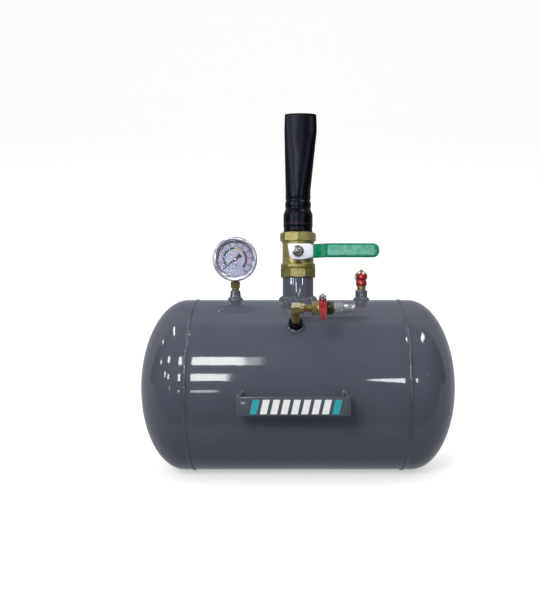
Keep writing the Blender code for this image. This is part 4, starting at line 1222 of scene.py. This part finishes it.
def lamps():
    upright("lamp_high", -0.345, -0.16, 0.77, 1.075, 19, -0.02)
    upright("lamp_high_end", -0.16, -0.115, 0.77, 1.075, 6, -0.01)
    upright("lamp_middle", -0.322, -0.2, 0.33, 0.507, 18)
    upright("lamp_low", -0.314, -0.237, 0.055, 0.11, 9)
    wedge = ((0.2, 0.352), (0.318, 0.281), (0.318, 0.405), (0.2, 0.372))
    panel("lamp_right", [(x, PANEL_Y, z) for x, z in wedge], 18)
    pane("pane_a", -73, 64.5, 16, 4, 22)
    pane("pane_b", -94, 33.4, 5, 3, 14)
    pane("pane_c", -43.5, 32.2, 9, 7, 20)
    pane("pane_d", -76.5, 20.4, 6, 3, 14)
    pane("pane_e", -37, 13.5, 7, 5.5, 16)
    pane("pane_f", -52, 13.9, 6, 5.5, 14)
    pane("pane_g", -30, 0.5, 5, 3, 7)
    pane("pane_h", 56, 59.4, 15, 8, 20)
    for name, azimuth, energy in (("left", -54, 0.04), ("centre", -17, 0.01), ("right", 34, 0.045)):
        spot(f"barrel_{name}", azimuth, 11, 0.47, 0.16, 0.5, 12, energy)
    spot("riser_right", 4, 1, 0.275, 0.04, 0.07, 4, 0.0003)
    location, target = Vector((-0.5, -1.75, 1.0)), Vector((0, 0, 0.2))
    key = area_lamp("key", location, target - location, 17.0, 0.55)
    key.visible_glossy = False


def surroundings():
    """White for the camera, brighter from above for soft light, dark in front in reflections."""
    world = bpy.data.worlds.new("studio")
    bpy.context.scene.world = world
    nodes = cleared(world)
    coords = nodes.new("ShaderNodeTexCoord").outputs["Generated"]
    x, y, z = nodes.new("ShaderNodeSeparateXYZ", coords).outputs
    past = nodes.math("SUBTRACT", y, nodes.remap(z, 0, 1, 0.4, 0.0))
    front = nodes.remap(nodes.math("ABSOLUTE", x), 0.55, 0.95, FRONT_GLOW, SIDE_GLOW)
    mirrored = nodes.blend(nodes.remap(past, -0.02, 0.03, 0, 1), front, BACK_GLOW)
    soft = nodes.remap(z, -0.1, 1, *SOFT_LIGHT)
    ray = nodes.new("ShaderNodeLightPath").outputs
    lit = nodes.blend(ray["Is Glossy Ray"], soft, mirrored)
    glow = nodes.new("ShaderNodeBackground", (1, 1, 1), nodes.blend(ray["Is Camera Ray"], lit, 1.0))
    nodes.new("ShaderNodeOutputWorld", glow.outputs[0])


def floor_material():
    """Pale for the camera. In reflections it is dim in front of the tank."""
    material = bpy.data.materials.new("floor")
    nodes = cleared(material)
    coords = nodes.new("ShaderNodeTexCoord").outputs["Object"]
    y = nodes.new("ShaderNodeSeparateXYZ", coords).outputs["Y"]
    ray = nodes.new("ShaderNodeLightPath").outputs
    tone = nodes.mix(ray["Is Camera Ray"], (0.3, 0.3, 0.3), (0.88, 0.88, 0.88))
    matt = nodes.new("ShaderNodeBsdfDiffuse", Color=tone)
    lift = nodes.math("MULTIPLY", ray["Is Camera Ray"], 0.5)
    lift = nodes.new("ShaderNodeEmission", Strength=lift)
    bright = nodes.new("ShaderNodeAddShader", matt.outputs[0], lift.outputs[0])
    dim = nodes.remap(y, -0.2, -0.16, 0.07, 0.42)
    dim = nodes.new("ShaderNodeEmission", (0.88, 0.93, 1.06), dim)
    shaders = bright.outputs[0], dim.outputs[0]
    mixed = nodes.new("ShaderNodeMixShader", ray["Is Glossy Ray"], *shaders)
    nodes.new("ShaderNodeOutputMaterial", mixed.outputs[0])
    return material


def floor():
    """A sweep that rises behind."""
    profile = [(FLOOR_FRONT, 0.0), (FLOOR_BACK, 0.0)]
    for step in range(1, 13):
        angle = math.pi / 2 * step / 12
        y = FLOOR_BACK + SWEEP_RADIUS * math.sin(angle)
        profile.append((y, SWEEP_RADIUS - SWEEP_RADIUS * math.cos(angle)))
    profile.append((FLOOR_BACK + SWEEP_RADIUS, SWEEP_TOP))
    low = -0.0004  # just under the tank
    verts = [(x, y, z + low) for y, z in profile for x in (-FLOOR_SIDE, FLOOR_SIDE)]
    faces = [(2 * i, 2 * i + 1, 2 * i + 3, 2 * i + 2) for i in range(len(profile) - 1)]
    mesh = bpy.data.meshes.new("floor")
    mesh.from_pydata(verts, [], faces)
    mesh.shade_smooth()
    mesh.materials.append(floor_material())
    placed("floor", mesh)


def camera():
    distance, height = 1.034, 0.261
    data = bpy.data.cameras.new("camera")
    data.lens = 39.8
    data.sensor_width = 36
    data.shift_x = -0.0467
    made = placed("camera", data)
    made.location = (0, AXIS_Y - distance, height)
    made.rotation_euler = (math.pi / 2, 0, 0)
    bpy.context.scene.camera = made


lamps()
surroundings()
floor()
camera()
bpy.context.scene.view_settings.view_transform = "Standard"
